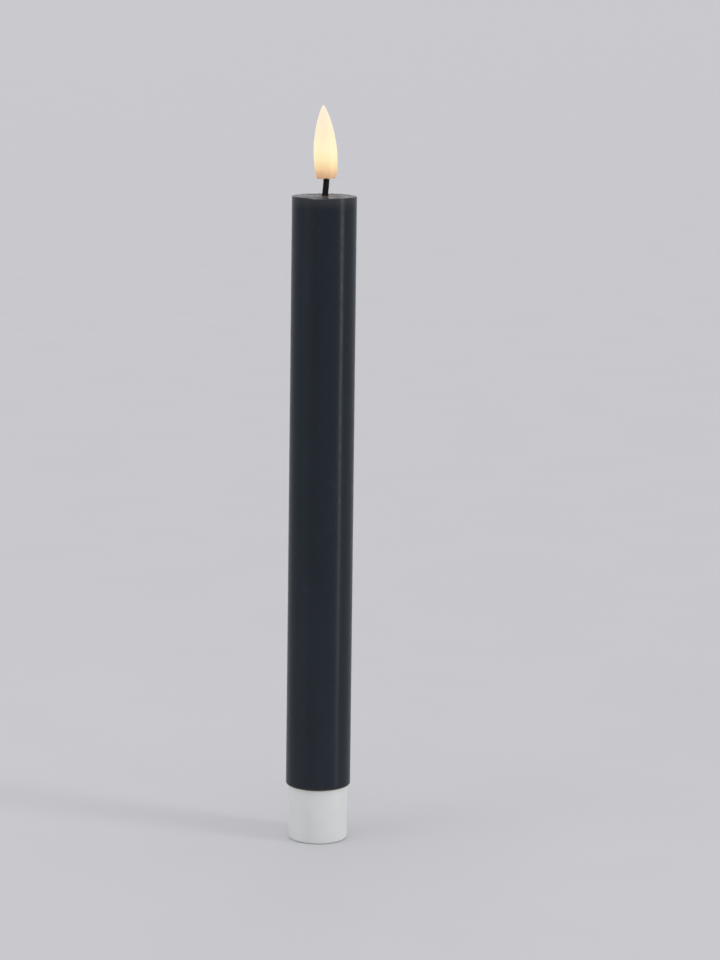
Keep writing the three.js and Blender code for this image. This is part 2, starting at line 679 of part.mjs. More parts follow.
// From its pad on the control board each lamp wire bends in under the plug, then runs up
// beside the other one inside the wick.
function lampWire(side) {
  const boardY = BOARD_FACE - LAMP_WIRE_RADIUS - 0.1;
  const aside = side * LAMP_WIRE_OFFSET;
  const route = [
    [side * LAMP_PAD_X, boardY, CONTROL_BOARD.top - 2.4],
    [side * LAMP_PAD_X, boardY, CONTROL_BOARD.top],
    [side, (boardY + aside) / 2, CONTROL_BOARD.top + 2],
  ];
  const upper = new WickLine(WICK.bottom - 0.6, FLAME_BASE + LAMP.bottom - 0.15, aside);
  upper.getPoints(8).forEach((p) => route.push(p.toArray()));
  return wire(route, LAMP_WIRE_RADIUS, 26);
}
add("lamp_wire_positive", lampWire(-1), RED_WIRE);
add("lamp_wire_negative", lampWire(1), BLACK_WIRE);

// ---------- flame ----------

const flameGroup = new THREE.Group();
const wickEnd = lean(FLAME_BASE);
flameGroup.position.set(wickEnd.x, wickEnd.y, FLAME_BASE);
flameGroup.rotation.y = -THREE.MathUtils.degToRad(FLAME_LEAN_DEG);
root.add(flameGroup);

function flame() {
  const path = new THREE.Path();
  path.moveTo(0, 0);
  path.lineTo(FLAME_BASE_RADIUS, 0);
  path.bezierCurveTo(3.6, 0.2, FLAME_RADIUS, 3.4, FLAME_RADIUS, FLAME_BELLY);
  path.bezierCurveTo(FLAME_RADIUS, 13, 2.2, 20.5, FLAME_TIP.radius, FLAME_HEIGHT - FLAME_TIP.length);
  path.lineTo(0, FLAME_HEIGHT);
  const { width, depth } = WICK_SOCKET_CLEARANCE;
  const socket = ovalBar(WICK.width + width, WICK.depth + depth, -1, LAMP.bottom - 0.2);
  const boreRadius = LAMP.flangeRadius + LAMP_CLEARANCE;
  const boreTop = LAMP.bottom + LAMP.height + 0.4;
  const bore = disc(0, boreRadius, LAMP.bottom - 0.3, boreTop, COARSE);
  return cut(turned(pathPoints(path, 6), COARSE), socket, bore);
}
add("flame", flame(), FLAME_PLASTIC, flameGroup);

// A 3 mm lamp with a flange and a domed lens.
function lamp() {
  const path = new THREE.Path();
  const top = LAMP.bottom + LAMP.height;
  path.moveTo(0, LAMP.bottom);
  path.lineTo(LAMP.flangeRadius, LAMP.bottom);
  path.lineTo(LAMP.flangeRadius, LAMP.bottom + LAMP.flangeHeight);
  path.lineTo(LAMP.radius, LAMP.bottom + LAMP.flangeHeight);
  path.absarc(0, top - LAMP.radius, LAMP.radius, 0, Math.PI / 2);
  return turned(pathPoints(path, 2), COARSE);
}
add("lamp", lamp(), CLEAR_LENS, flameGroup);

export default root;
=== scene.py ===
"""Looks of a flameless LED dinner candle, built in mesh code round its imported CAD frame.

Shapes are worked out in millimetres and stored in metres. The front faces -Y. Every piece
takes the place of the CAD node of the same name, so it moves with that node's body.
"""

import json
import math

import bmesh
import bpy
from mathutils import Matrix, Vector, noise

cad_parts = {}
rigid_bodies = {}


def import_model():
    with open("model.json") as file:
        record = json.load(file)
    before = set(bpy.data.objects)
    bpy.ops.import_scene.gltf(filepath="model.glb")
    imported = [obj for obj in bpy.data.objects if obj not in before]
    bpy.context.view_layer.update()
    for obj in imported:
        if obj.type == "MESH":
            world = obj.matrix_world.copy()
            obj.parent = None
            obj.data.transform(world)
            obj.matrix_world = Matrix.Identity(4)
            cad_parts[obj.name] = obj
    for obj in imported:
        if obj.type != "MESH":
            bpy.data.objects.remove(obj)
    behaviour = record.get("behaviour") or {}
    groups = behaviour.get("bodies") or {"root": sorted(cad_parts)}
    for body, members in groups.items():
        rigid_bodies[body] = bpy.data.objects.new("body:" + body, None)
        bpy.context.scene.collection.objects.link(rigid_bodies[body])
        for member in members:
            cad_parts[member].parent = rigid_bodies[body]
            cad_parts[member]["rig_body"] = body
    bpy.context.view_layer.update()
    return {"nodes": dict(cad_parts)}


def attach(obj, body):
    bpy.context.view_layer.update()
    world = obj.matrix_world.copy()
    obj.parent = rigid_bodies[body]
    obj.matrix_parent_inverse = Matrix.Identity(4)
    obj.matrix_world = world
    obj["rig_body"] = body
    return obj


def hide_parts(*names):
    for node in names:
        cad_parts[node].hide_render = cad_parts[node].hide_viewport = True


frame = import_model()
MM = 0.001
TURN = 2 * math.pi

# ---------- sizes, in millimetres, as in the CAD or just inside it ----------

WAX_BOTTOM, WAX_TOP = 19.0, 219.42
WAX_BOTTOM_RADIUS, WAX_TOP_RADIUS = 10.97, 10.76
WAX_RIM_FILLET, WAX_FOOT_FILLET = 0.42, 0.4
WAX_BORE_RADIUS, WAX_CEILING = 8.1, 214.6
POCKET_RADIUS, POCKET_TOP = 10.3, 20.6
NECK_RADIUS, NECK_BOTTOM = 7.4, 9.8
TUBE_RADIUS, TUBE_TOP = 7.8, 213.2
FLANGE_RADIUS, FLANGE_BOTTOM, FLANGE_TOP = 9.9, 19.2, 20.4
BAY_RADIUS, LEDGE_RADIUS, UPPER_BORE_RADIUS = 6.2, 5.7, 6.6
LEDGE_BOTTOM, LEDGE_TOP = 104.3, 105.8
RIB_SPANS = ((FLANGE_TOP + 1, 34), (198, TUBE_TOP - 1))
THREAD_PITCH, THREAD_WIDTH, THREAD_HEIGHT = 3.0, 1.44, 0.68
NECK_THREAD_START, NECK_THREAD_TURNS = 11.3, 1.6
CAP_THREAD_START, CAP_THREAD_TURNS = 12.8, 1.1
CAP_TOP, CAP_TOP_RADIUS, CAP_FOOT_RADIUS = 18.85, 10.22, 9.98
CAP_BORE_RADIUS, CAP_FLOOR = 8.4, 2.2
RECESS_RADIUS, RECESS_DEPTH = 6.2, 0.7
BOARD_BOTTOM, BOARD_TOP, BOARD_RADIUS = 6.3, 7.3, 7.7
RING_BOTTOM, RING_TOP, RING_INNER, RING_OUTER, RING_SHEET = 7.4, 9.1, 6.4, 7.5, 0.3
SPRING_BOTTOM, SPRING_TOP, SPRING_TURNS = 7.7, 11.4, 4
SPRING_WIDE, SPRING_NARROW, SPRING_WIRE = 2.9, 2.1, 0.29
SCREW_Y, SCREW_SEAT, SCREW_END = 4.8, 7.4, 3.1
SCREW_RADIUS, SCREW_HEAD_RADIUS = 0.5, 1.2
SWITCH_BOTTOM, SWITCH_TOP = 2.5, 5.9
SWITCH_PIN_XS, SWITCH_PIN_TOP = (-2.5, 0, 2.5), 6.24
KNOB_X, KNOB_TRAVEL, KNOB_HALF = 1.0, 2.0, 1.2
CELL_BOTTOM, CELL_STEP, CELL_RADIUS = 11.8, 44.55, 5.25
CELL_SHOULDER, CELL_BUTTON_TOP = 43.58, 44.5
STOP_BOTTOM, STOP_TOP, STOP_RADIUS = 102.2, 104.2, 6.05
CONTACT_BOTTOM, CONTACT_TOP, CONTACT_SHEET = 100.95, 102.1, 0.3
POSITIVE_HOLE_X, NEGATIVE_NOTCH_Y = -2.4, 4.9
STRIP_INNER, STRIP_SHEET, STRIP_BOTTOM, STRIP_TOP = 5.62, 0.3, 9.25, 101.3
STRIP_FOOT_END, STRIP_TAB_END = 7.2, 4.3
BOARD_FACE, BOARD_BACK = -0.5, 0.5
CONTROL_BOTTOM, CONTROL_TOP, CONTROL_HALF = 166.0, 204.0, 4.5
SUPPLY_PAD_X, SUPPLY_PAD_Z = 1.6, 168.2
LAMP_PAD_X, LAMP_PAD_Z = 1.4, 202.2
SMALL_JOINTS = [(x, z) for x in (-3.6, 3.6) for z in (171.5, 175.5, 187.2)]
VIAS = ((-3.4, 179), (-3.4, 183), (3.4, 183), (0, 171), (3.3, 200.8), (-3.3, 200.8))
CHIP_BOTTOM, CHIP_TOP, CHIP_LEG_PITCH = 181, 185.9, 1.17
CRYSTAL_X, CRYSTAL_Y, CRYSTAL_BOTTOM, CRYSTAL_TOP = 2.2, -1.55, 174.6, 179.48
CAPACITOR_Y, CAPACITOR_BOTTOM, CAPACITOR_TOP = 2.55, 176.02, 181.95
RESISTOR_XS, RESISTOR_MIDDLE = (-3, -1, 1), 188.8
RECEIVER_BOTTOM, RECEIVER_TOP, RECEIVER_EYE = 194.3, 199.5, 197
PLUG_BOTTOM, PLUG_TOP, PLUG_RADIUS, PLUG_FLANGE_RADIUS = 209.0, 214.3, 6.4, 7.7
PRONG_BOTTOM = 190
WICK_BOTTOM, WICK_TOP = 208.6, 226.4
WICK_HALF_X, WICK_HALF_Y = 0.97, 1.31
WICK_BORE_X, WICK_BORE_Y = 0.62, 0.97
WICK_HOLE_X, WICK_HOLE_Y = 1.0, 1.35
WICK_LEAN_START, WICK_LEAN_RUN = 216.0, 9.5
WICK_LEAN_X, WICK_LEAN_Y = 0.6, 0.3
FLAME_BASE, FLAME_HEIGHT, FLAME_RADIUS = 224.9, 24.05, 3.9
FLAME_BELLY, FLAME_LIP_RADIUS = 7.6, 3.34
FLAME_LEAN = math.radians(3)

# ---------- camera, lights and tones ----------

CAMERA_PLACE = (12.98, -1010.0, 299.25)
CAMERA_PITCH = math.radians(9.84)
CAMERA_ROLL = math.radians(0.76)
CAMERA_LENS = 114.5
SUNS = {
    "top_sun": {"aim": (0.05, 0.1, -1), "strength": 0.66, "spread": 60},
    "right_sun": {"aim": (-0.92, 0.37, -0.55), "strength": 0.42, "spread": 18},
    "left_sun": {"aim": (0.85, 0.5, -0.27), "strength": 0.42, "spread": 38},
}
STRIP_PLACE = (650, -264, 157)
STRIP_SIZE = (98, 310)
STRIP_SPREAD = 50
STRIP_POWER = 0.118
WORLD_BRIGHT_SIDE = (-0.6, 0.4, 0.69)
WORLD_DIM, WORLD_BRIGHT = 0.4, 0.75
WORLD_TONE = (0.97, 0.97, 1.0, 1)
BACKDROP_STRENGTH = 0.61
FLOOR_HALF = 60000
FLAME_GLOW = 0.77
WHITE_TONE = (224, 226, 224)


def add_object(name, data):
    made = bpy.data.objects.new(name, data)
    bpy.context.scene.collection.objects.link(made)
    return made


def add_camera():
    camera = add_object("camera", bpy.data.cameras.new("camera"))
    camera.data.lens = CAMERA_LENS
    look = Matrix.Rotation(math.pi / 2 - CAMERA_PITCH, 4, "X")
    roll = Matrix.Rotation(CAMERA_ROLL, 4, "Z")
    camera.matrix_world = Matrix.Translation(Vector(CAMERA_PLACE) * MM) @ look @ roll
    bpy.context.scene.camera = camera


# ---------- mesh helpers ----------


def skin(rings, wrap=False):
    """Vertices and faces over a run of rings. A ring of one point is a pole."""
    starts, vertices, faces = [], [], []
    for ring in rings:
        starts.append(len(vertices))
        vertices.extend(ring)
    pairs = [(i, i + 1) for i in range(len(rings) - 1)]
    if wrap:
        pairs.append((len(rings) - 1, 0))
    for a, b in pairs:
        size_a, size_b = len(rings[a]), len(rings[b])
        count = max(size_a, size_b)
        for j in range(count):
            k = (j + 1) % count
            corners = (
                starts[a] + j % size_a,
                starts[a] + k % size_a,
                starts[b] + k % size_b,
                starts[b] + j % size_b,
            )
            faces.append(tuple(dict.fromkeys(corners)))
    return vertices, faces


def capped(rings):
    """A skin over rings with both ends closed by one flat face each."""
    vertices, faces = skin(rings)
    first, last = len(rings[0]), len(rings[-1])
    faces.append(tuple(range(first)))
    faces.append(tuple(range(len(vertices) - last, len(vertices))))
    return vertices, faces


def mesh_object(name, shape):
    """An object from a (vertices, faces) shape in millimetres, with its faces turned outward."""
    vertices, faces = shape
    mesh = bpy.data.meshes.new(name)
    mesh.from_pydata([Vector(v) * MM for v in vertices], [], faces)
    work = bmesh.new()
    work.from_mesh(mesh)
    bmesh.ops.recalc_face_normals(work, faces=work.faces)
    work.to_mesh(mesh)
    work.free()
    return add_object(name, mesh)


def boolean(target, tools, operation):
    """Joins the tools to the target or cuts them from it, and removes them."""
    for tool in tools:
        change = target.modifiers.new("boolean", "BOOLEAN")
        change.operation = operation
        change.solver = "EXACT"
        change.object = tool
    graph = bpy.context.evaluated_depsgraph_get()
    result = bpy.data.meshes.new_from_object(target.evaluated_get(graph))
    target.modifiers.clear()
    target.data = result
    for tool in tools:
        bpy.data.objects.remove(tool)


def joined(name, shapes, cuts=()):
    """One object from overlapping shapes, with the cuts taken out of it."""
    first, *rest = [mesh_object(name, shape) for shape in shapes]
    if rest:
        boolean(first, rest, "UNION")
    if cuts:
        boolean(first, [mesh_object("cut", shape) for shape in cuts], "DIFFERENCE")
    return first


def smooth(piece, sharp_degrees=38):
    piece.data.shade_smooth()
    piece.data.set_sharp_from_angle(angle=math.radians(sharp_degrees))


def finish_piece(piece, node, material, accent=None, is_accent=None):
    """Shades a piece, paints it, and puts it in its CAD node's place.

    accent is a second material for the faces whose centre, in millimetres, passes is_accent.
    """
    piece.name = node + "_look"
    smooth(piece)
    piece.data.materials.clear()
    piece.data.materials.append(material)
    if accent:
        piece.data.materials.append(accent)
        for face in piece.data.polygons:
            face.material_index = int(is_accent(face.center / MM))
    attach(piece, frame["nodes"][node]["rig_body"])
    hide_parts(node)


def between(start, end, share):
    return start + (end - start) * share


def span(middle, half):
    return (middle - half, middle + half)


def shares(count, first=0):
    """Even steps that end at 1, and start at 0 unless first leaves some out."""
    return [i / count for i in range(first, count + 1)]


def angles_round(count):
    return [TURN * i / count for i in range(count)]


def polar(radius, angle, z):
    return Vector((radius * math.cos(angle), radius * math.sin(angle), z))


def oval(angles, half_x, half_y, z, centre=(0, 0)):
    """One ring of points at height z."""
    x, y = centre
    return [Vector((x + half_x * math.cos(a), y + half_y * math.sin(a), z)) for a in angles]


def circle(radius, z, count, centre=(0, 0)):
    return oval(angles_round(count), radius, radius, z, centre)


def softened(corners, closed=True, steps=4):
    """A profile's corners (across, up, fillet), each rounded over its own fillet length."""
    points = []
    count = len(corners)
    for i, (x, y, fillet) in enumerate(corners):
        corner = Vector((x, y))
        inside = closed or 0 < i < count - 1
        if fillet == 0 or not inside:
            points.append(corner)
            continue
        before = Vector(corners[i - 1][:2]) - corner
        after = Vector(corners[(i + 1) % count][:2]) - corner
        start = corner + before.normalized() * min(fillet, before.length / 2)
        end = corner + after.normalized() * min(fillet, after.length / 2)
        for t in shares(steps):
            points.append(start.lerp(corner, t).lerp(corner.lerp(end, t), t))
    return points


def turned(corners, count, centre=(0, 0), steps=4):
    """A profile (radius, height, fillet) turned round a vertical axis.

    A profile that starts and ends on the axis is closed there, and any other wraps round.
    """
    on_axis = corners[0][0] == 0 and corners[-1][0] == 0
    rings = []
    for point in softened(corners, closed=not on_axis, steps=steps):
        if point.x < 1e-6:
            rings.append([Vector((centre[0], centre[1], point.y))])
        else:
            rings.append(circle(point.x, point.y, count, centre))
    return skin(rings, wrap=not on_axis)


def along_x(a, b, t):
    return (t, a, b)


def along_y(a, b, t):
    return (a, t, b)


def along_z(a, b, t):
    return (a, b, t)


def prism(outline, low, high, lay=along_z):
    """A flat outline drawn out from low to high along the axis that lay names."""
    return capped([[Vector(lay(a, b, t)) for a, b in outline] for t in (low, high)])


def bevelled(shape, width, steps=3):
    """The same shape with its sharp edges rounded."""
    work = bmesh.new()
    corners = [work.verts.new(v) for v in shape[0]]
    for face in shape[1]:
        work.faces.new([corners[i] for i in face])
    bmesh.ops.recalc_face_normals(work, faces=work.faces)
    edges = [e for e in work.edges if e.calc_face_angle(0) > math.radians(40)]
    bmesh.ops.bevel(work, geom=edges, offset=width, segments=steps, profile=0.5, affect="EDGES")
    work.verts.index_update()
    vertices = [v.co.copy() for v in work.verts]
    faces = [tuple(v.index for v in face.verts) for face in work.faces]
    work.free()
    return vertices, faces


def box(x, y, z, fillet=0.0, steps=3):
    """A block between pairs of limits, with its edges rounded."""
    made = prism([(x[0], y[0]), (x[1], y[0]), (x[1], y[1]), (x[0], y[1])], *z)
    return bevelled(made, fillet, steps) if fillet else made


def rod(radius, low, high, centre=(0, 0), count=32, lay=along_z):
    """A round bar along one axis; centre is its place across that axis."""
    return prism([p.xy for p in circle(radius, 0, count, centre)], low, high, lay)


def reshaped(shape, change):
    """The same shape with every point put through change."""
    return [Vector(change(v)) for v in shape[0]], shape[1]


def around(shape, count):
    """Copies of a shape spaced evenly round the candle's axis."""
    turns = [Matrix.Rotation(TURN * i / count, 3, "Z") for i in range(count)]
    return [reshaped(shape, lambda v, turn=turn: turn @ v) for turn in turns]


def moved(piece, change):
    """The same object with every point, in millimetres, put through change."""
    for v in piece.data.vertices:
        v.co = change(v.co / MM) * MM
    return piece


def both_sides(shape):
    """A shape and its mirror image across X."""
    return [shape, reshaped(shape, lambda v: (-v.x, v.y, v.z))]


def smooth_line(stops, per_span=8):
    """A Catmull-Rom line through the stops."""
    stops = [Vector(p) for p in stops]
    ends = [2 * stops[0] - stops[1], *stops, 2 * stops[-1] - stops[-2]]
    line = []
    for i in range(1, len(ends) - 2):
        a, b, c, d = ends[i - 1 : i + 3]
        bend = 2 * a - 5 * b + 4 * c - d
        twist = 3 * b - a - 3 * c + d
        for t in shares(per_span)[:-1]:
            line.append(0.5 * (2 * b + (c - a) * t + bend * t * t + twist * t**3))
    line.append(stops[-1])
    return line


def swept(line, radii, count=12):
    """A round rod along a line. radii is one radius, or one for each point."""
    if not hasattr(radii, "__len__"):
        radii = [radii] * len(line)
    side = None
    rings = []
    for i, point in enumerate(line):
        ahead = (line[min(i + 1, len(line) - 1)] - line[max(i - 1, 0)]).normalized()
        if side is None:
            side = ahead.orthogonal().normalized()
        side = (side - ahead * side.dot(ahead)).normalized()
        other = ahead.cross(side)
        spokes = [math.cos(a) * side + math.sin(a) * other for a in angles_round(count)]
        rings.append([point + radii[i] * spoke for spoke in spokes])
    return capped(rings)


def lead(stops, radius):
    """A bare wire through its stops."""
    return swept(smooth_line(stops, 6), radius, 10)


def insulated_wire(name, route, radius, core, bare, count=14):
    """A wire whose insulation stops short of both ends. It also says which faces are bare."""
    line = smooth_line(route, 6)
    points, radii = [], []
    for point in line:
        ends = min((point - line[0]).length, (point - line[-1]).length)
        wanted = core if ends < bare else radius
        if radii and wanted != radii[-1]:
            points.append(point.copy())
            radii.append(radii[-1])
        points.append(point)
        radii.append(wanted)

    def is_bare(centre):
        return min((centre - line[0]).length, (centre - line[-1]).length) < bare

    return mesh_object(name, swept(points, radii, count)), is_bare


def thread_ridge(radius, start, turns, height, pitch, width, per_turn=60, sink=0.3):
    """A right-hand screw ridge that stands out by height, or in where height is negative.

    It tapers away at both ends, as a moulded thread does.
    """
    side = math.copysign(1, height)
    half_section = [(-sink, -0.5), (0, -0.5), (0.55, -0.35), (0.9, -0.25), (1, -0.14)]
    section = half_section + [(out, -up) for out, up in reversed(half_section)]
    steps = round(turns * per_turn)
    rings = []
    for i in range(steps + 1):
        turn = i / per_turn
        run_out = min(1, i / 8, (steps - i) / 8)
        rise = abs(height) * max(0.08, math.sin(run_out * math.pi / 2))
        climb = start + pitch * turn
        a = TURN * turn
        ring = []
        for out, up in section:
            r = radius + side * (out if out <= 0 else out * rise)
            ring.append(polar(r, a, climb + up * width))
        rings.append(ring)
    return capped(rings)


def screw_thread(radius, start, turns, height):
    """The ridge that the neck and the base cap share."""
    return thread_ridge(radius, start, turns, height, THREAD_PITCH, THREAD_WIDTH)


def wave(*place):
    """Smooth noise from about -1 to 1 at a point."""
    return noise.noise(Vector(place))


# ---------- material helpers ----------


def shade(red, green, blue):
    """A screen colour of 0 to 255 as a linear colour."""
    parts = []
    for value in (red, green, blue):
        c = value / 255
        parts.append(c / 12.92 if c <= 0.04045 else ((c + 0.055) / 1.055) ** 2.4)
    return (*parts, 1.0)


class Nodes:
    """The shader nodes of one tree, linked as they are made."""

    def __init__(self, tree):
        self.tree = tree

    def feed(self, socket, value):
        if isinstance(value, bpy.types.NodeSocket):
            self.tree.links.new(value, socket)
        else:
            socket.default_value = value

    def node(self, kind, inputs, **settings):
        made = self.tree.nodes.new("ShaderNode" + kind)
        for key, value in settings.items():
            setattr(made, key, value)
        for key, value in inputs.items():
            self.feed(made.inputs[key], value)
        return made

    def maths(self, operation, a, b=0.0):
        return self.node("Math", {0: a, 1: b}, operation=operation).outputs[0]

    def times(self, a, b):
        return self.maths("MULTIPLY", a, b)

    def minus(self, a, b):
        return self.maths("SUBTRACT", a, b)

    def mix(self, share, a, b):
        """A colour between a and b."""
        return self.node("Mix", {0: share, 6: a, 7: b}, data_type="RGBA").outputs[2]


class Paint(Nodes):
    """A node material round one Principled shader, with millimetre coordinates on the piece."""

    def __init__(self, name, roughness=0.5, metallic=0.0):
        self.material = bpy.data.materials.new(name)
        self.material.use_nodes = True
        super().__init__(self.material.node_tree)
        self.shader = self.tree.nodes["Principled BSDF"]
        self.set("Roughness", roughness)
        self.set("Metallic", metallic)

    def set(self, name, value):
        self.feed(self.shader.inputs[name], value)

    def colour(self, value):
        self.set("Base Color", value)

    def place(self, stretch=(1, 1, 1)):
        """Coordinates on the piece in millimetres, multiplied by stretch."""
        coordinates = self.node("TexCoord", {}).outputs["Object"]
        scale = tuple(s / MM for s in stretch)
        return self.node("Mapping", {"Vector": coordinates, "Scale": scale}).outputs["Vector"]

    def along(self, axis):
        """One coordinate, in millimetres."""
        return self.node("SeparateXYZ", {"Vector": self.place()}).outputs[axis]

    def above(self, level):
        """The height over a level, in millimetres."""
        return self.minus(self.along("Z"), level)

    def grain(self, size, detail=2.0, stretch=(1, 1, 1)):
        """Noise of 0 to 1 with features about size millimetres wide."""
        inputs = {"Vector": self.place(stretch), "Scale": 1 / size, "Detail": detail}
        return self.node("TexNoise", inputs).outputs["Fac"]

    def spots(self, spacing, radius, stretch=(1, 1, 1)):
        """1 in scattered small round spots and 0 elsewhere."""
        inputs = {"Vector": self.place(stretch), "Scale": 1 / spacing}
        distance = self.node("TexVoronoi", inputs).outputs["Distance"]
        return self.fade(distance, radius / spacing, 0)

    def fade(self, value, low, high, out_low=0.0, out_high=1.0):
        """value mapped smoothly from low..high to out_low..out_high."""
        inputs = {"Value": value, "From Min": low, "From Max": high}
        inputs |= {"To Min": out_low, "To Max": out_high}
        made = self.node("MapRange", inputs, interpolation_type="SMOOTHSTEP")
        return made.outputs["Result"]

    def rough(self, grain, low, high):
        """Roughness that follows a grain from low to high."""
        self.set("Roughness", self.fade(grain, 0.3, 0.7, low, high))

    def distance(self, x, y):
        """How far the point (x, y) is from the axis."""
        return self.maths("SQRT", self.maths("ADD", self.times(x, x), self.times(y, y)))

    def ramp(self, value, stops):
        """A colour ramp through (position, colour) stops."""
        made = self.node("ValToRGB", {"Fac": value})
        elements = made.color_ramp.elements
        elements[0].position, elements[0].color = stops[0]
        elements[1].position, elements[1].color = stops[-1]
        for position, colour in stops[1:-1]:
            elements.new(position).color = colour
        return made.outputs["Color"]

    def glow_through(self, reach, scale, weight):
        """Light that enters the surface and scatters, over scale millimetres."""
        self.set("Subsurface Weight", weight)
        self.set("Subsurface Radius", reach)
        self.set("Subsurface Scale", scale * MM)

    def bump(self, *layers):
        """Relief from (height of 0 to 1, depth in millimetres) layers."""
        normal = None
        for height, depth in layers:
            inputs = {"Height": height, "Distance": depth * MM, "Strength": 1.0}
            if normal is not None:
                inputs["Normal"] = normal
            normal = self.node("Bump", inputs).outputs["Normal"]
        self.set("Normal", normal)


def wax_face_tone(paint, from_axis):
    """The top face: cloudy, with a painted highlight along the rim and a warm pale patch round the
    wick that is partly paler wax and partly painted flame light.
    """
    clouds = paint.fade(paint.grain(2.4, stretch=(0.5, 0.3, 1)), 0.35, 0.65)
    tone = paint.mix(clouds, shade(46, 47, 51), shade(92, 88, 91))
    # Painted highlight: a paler ring on the outer edge of the top face, where the rounded rim
    # catches the light.
    tone = paint.mix(paint.fade(from_axis, 9.6, 10.2), tone, shade(118, 113, 116))
    # Partly painted light: a warm pale patch round the wick, partly paler wax and partly the
    # flame's warm light painted onto it.
    wick = lean(WAX_TOP)
    across = paint.minus(paint.along("X"), wick.x)
    deep = paint.minus(paint.along("Y"), wick.y)
    from_wick = paint.distance(across, deep)
    return paint.mix(paint.fade(from_wick, 3.2, 2.2), tone, shade(152, 134, 130))


def wax_material():
    """Dyed wax: cloudy and dark, with painted light: paler towards the rim as glow through the wax,
    and paler towards the foot as bounce light, with a warm painted band along the foot edge.
    """
    paint = Paint("dark_wax")
    clouds = paint.grain(9, detail=3, stretch=(1, 1, 0.25))
    body = paint.mix(clouds, shade(29, 37, 42), shade(38, 44, 53))
    bloom = paint.fade(paint.grain(2.2, detail=4), 0.56, 0.78, 0, 0.2)
    body = paint.mix(bloom, body, shade(58, 62, 68))
    specks = paint.spots(6.5, 0.26, stretch=(1, 1, 0.6))
    body = paint.mix(paint.times(specks, 0.35), body, shade(92, 96, 102))
    z = paint.along("Z")
    # Painted light: the wall made paler over the lower 120 mm, as bounce light from the floor.
    body = paint.mix(paint.fade(z, WAX_BOTTOM + 120, WAX_BOTTOM, 0, 0.2), body, shade(52, 56, 62))
    # Painted light: the top 4.5 mm of the wall made paler, as the lamp's glow showing through the
    # wax.
    body = paint.mix(paint.fade(z, WAX_TOP - 4.5, WAX_TOP - 0.3, 0, 0.8), body, shade(61, 62, 65))
    from_axis = paint.distance(paint.along("X"), paint.along("Y"))
    inside_rim = paint.fade(from_axis, WAX_TOP_RADIUS - 0.14, WAX_TOP_RADIUS - 0.36)
    face = paint.times(inside_rim, paint.fade(z, WAX_TOP - 1.8, WAX_TOP - 1.4))
    body = paint.mix(face, body, wax_face_tone(paint, from_axis))
    # Painted light: a warm brown band along the bottom 0.9 mm, as light shining through the thin
    # foot edge.
    body = paint.mix(paint.fade(z, WAX_BOTTOM + 0.9, WAX_BOTTOM, 0, 0.7), body, shade(86, 70, 46))
    paint.colour(body)
    wall_finish = paint.fade(paint.grain(3, detail=4), 0.3, 0.7, 0.3, 0.4)
    face_gloss = paint.times(face, 0.12)
    paint.set("Roughness", paint.minus(wall_finish, face_gloss))
    paint.set("IOR", 1.21)
    # Fine polishing marks run round the axis, so the gloss spreads up and down the wall.
    round_the_axis = paint.node("Tangent", {}, direction_type="RADIAL", axis="Z")
    paint.set("Tangent", round_the_axis.outputs["Tangent"])
    paint.set("Anisotropic", 0.8)
    paint.set("Anisotropic Rotation", 0.25)
    paint.glow_through((0.8, 0.6, 0.5), 1.0, 0.08)
    paint.bump(
        (paint.grain(1.6, detail=3), 0.01),
        (paint.grain(6, detail=1, stretch=(1, 1, 0.12)), 0.06),
        (specks, 0.04),
        (paint.grain(0.35, detail=2), 0.002),
    )
    return paint.material


def plastic_material(name, tone, roughness=0.36):
    """Satin moulded plastic with faint flow marks and a fine grain."""
    paint = Paint(name)
    darker = tuple(value - 9 for value in tone)
    paint.colour(paint.mix(paint.grain(7), shade(*darker), shade(*tone)))
    paint.rough(paint.grain(1.4, detail=4), roughness - 0.05, roughness + 0.08)
    paint.glow_through((1.0, 0.95, 0.9), 0.8, 0.15)
    paint.bump((paint.grain(0.25, detail=3), 0.002), (paint.grain(4, detail=1), 0.01))
    return paint.material


def flame_material():
    """Frosted plastic lit from inside: brightest round the lamp, peach towards the lip."""
    paint = Paint("lit_flame", roughness=0.42)
    up = paint.above(FLAME_BASE)
    stops = [
        (0.0, shade(182, 138, 98)),
        (0.06, shade(204, 158, 116)),
        (0.15, shade(244, 208, 154)),
        (0.26, shade(254, 240, 186)),
        (0.4, shade(255, 250, 206)),
        (0.6, shade(254, 241, 205)),
        (0.8, shade(253, 238, 214)),
        (1.0, shade(250, 238, 220)),
    ]
    glow = paint.ramp(paint.maths("DIVIDE", up, FLAME_HEIGHT), stops)
    haze = paint.fade(paint.grain(1.6), 0.35, 0.7, 0, 0.12)
    paint.colour(paint.mix(haze, shade(150, 128, 98), shade(172, 146, 112)))
    paint.set("Emission Color", paint.mix(haze, glow, shade(255, 222, 172)))
    paint.set("Emission Strength", FLAME_GLOW)
    paint.glow_through((1.2, 0.9, 0.6), 1.5, 0.2)
    paint.bump((paint.grain(0.9), 0.01), (paint.grain(0.2), 0.002))
    return paint.material


def lens_material():
    """A clear amber lens with the lit die showing through low down."""
    paint = Paint("lamp_lens", roughness=0.12)
    up = paint.above(FLAME_BASE)
    hot = paint.fade(up, 6.6, 3.6)
    paint.colour(paint.mix(hot, shade(250, 232, 190), shade(255, 214, 130)))
    paint.set("Emission Color", paint.mix(hot, shade(255, 226, 160), shade(255, 246, 214)))
    paint.set("Emission Strength", paint.fade(paint.grain(0.8), 0.3, 0.7, 0.5, 0.8))
    paint.set("Transmission Weight", 0.35)
    return paint.material


def wick_material():
    """Matte shrink sleeve with fine lengthwise creases."""
    paint = Paint("wick_sleeve")
    creases = paint.grain(0.5, detail=4, stretch=(1, 1, 0.3))
    paint.colour(paint.mix(creases, shade(4, 4, 5), shade(16, 15, 15)))
    paint.rough(paint.grain(0.4, detail=3), 0.55, 0.75)
    paint.set("Specular IOR Level", 0.2)
    paint.bump((paint.grain(0.3, detail=3, stretch=(1, 1, 0.2)), 0.02))
    return paint.material


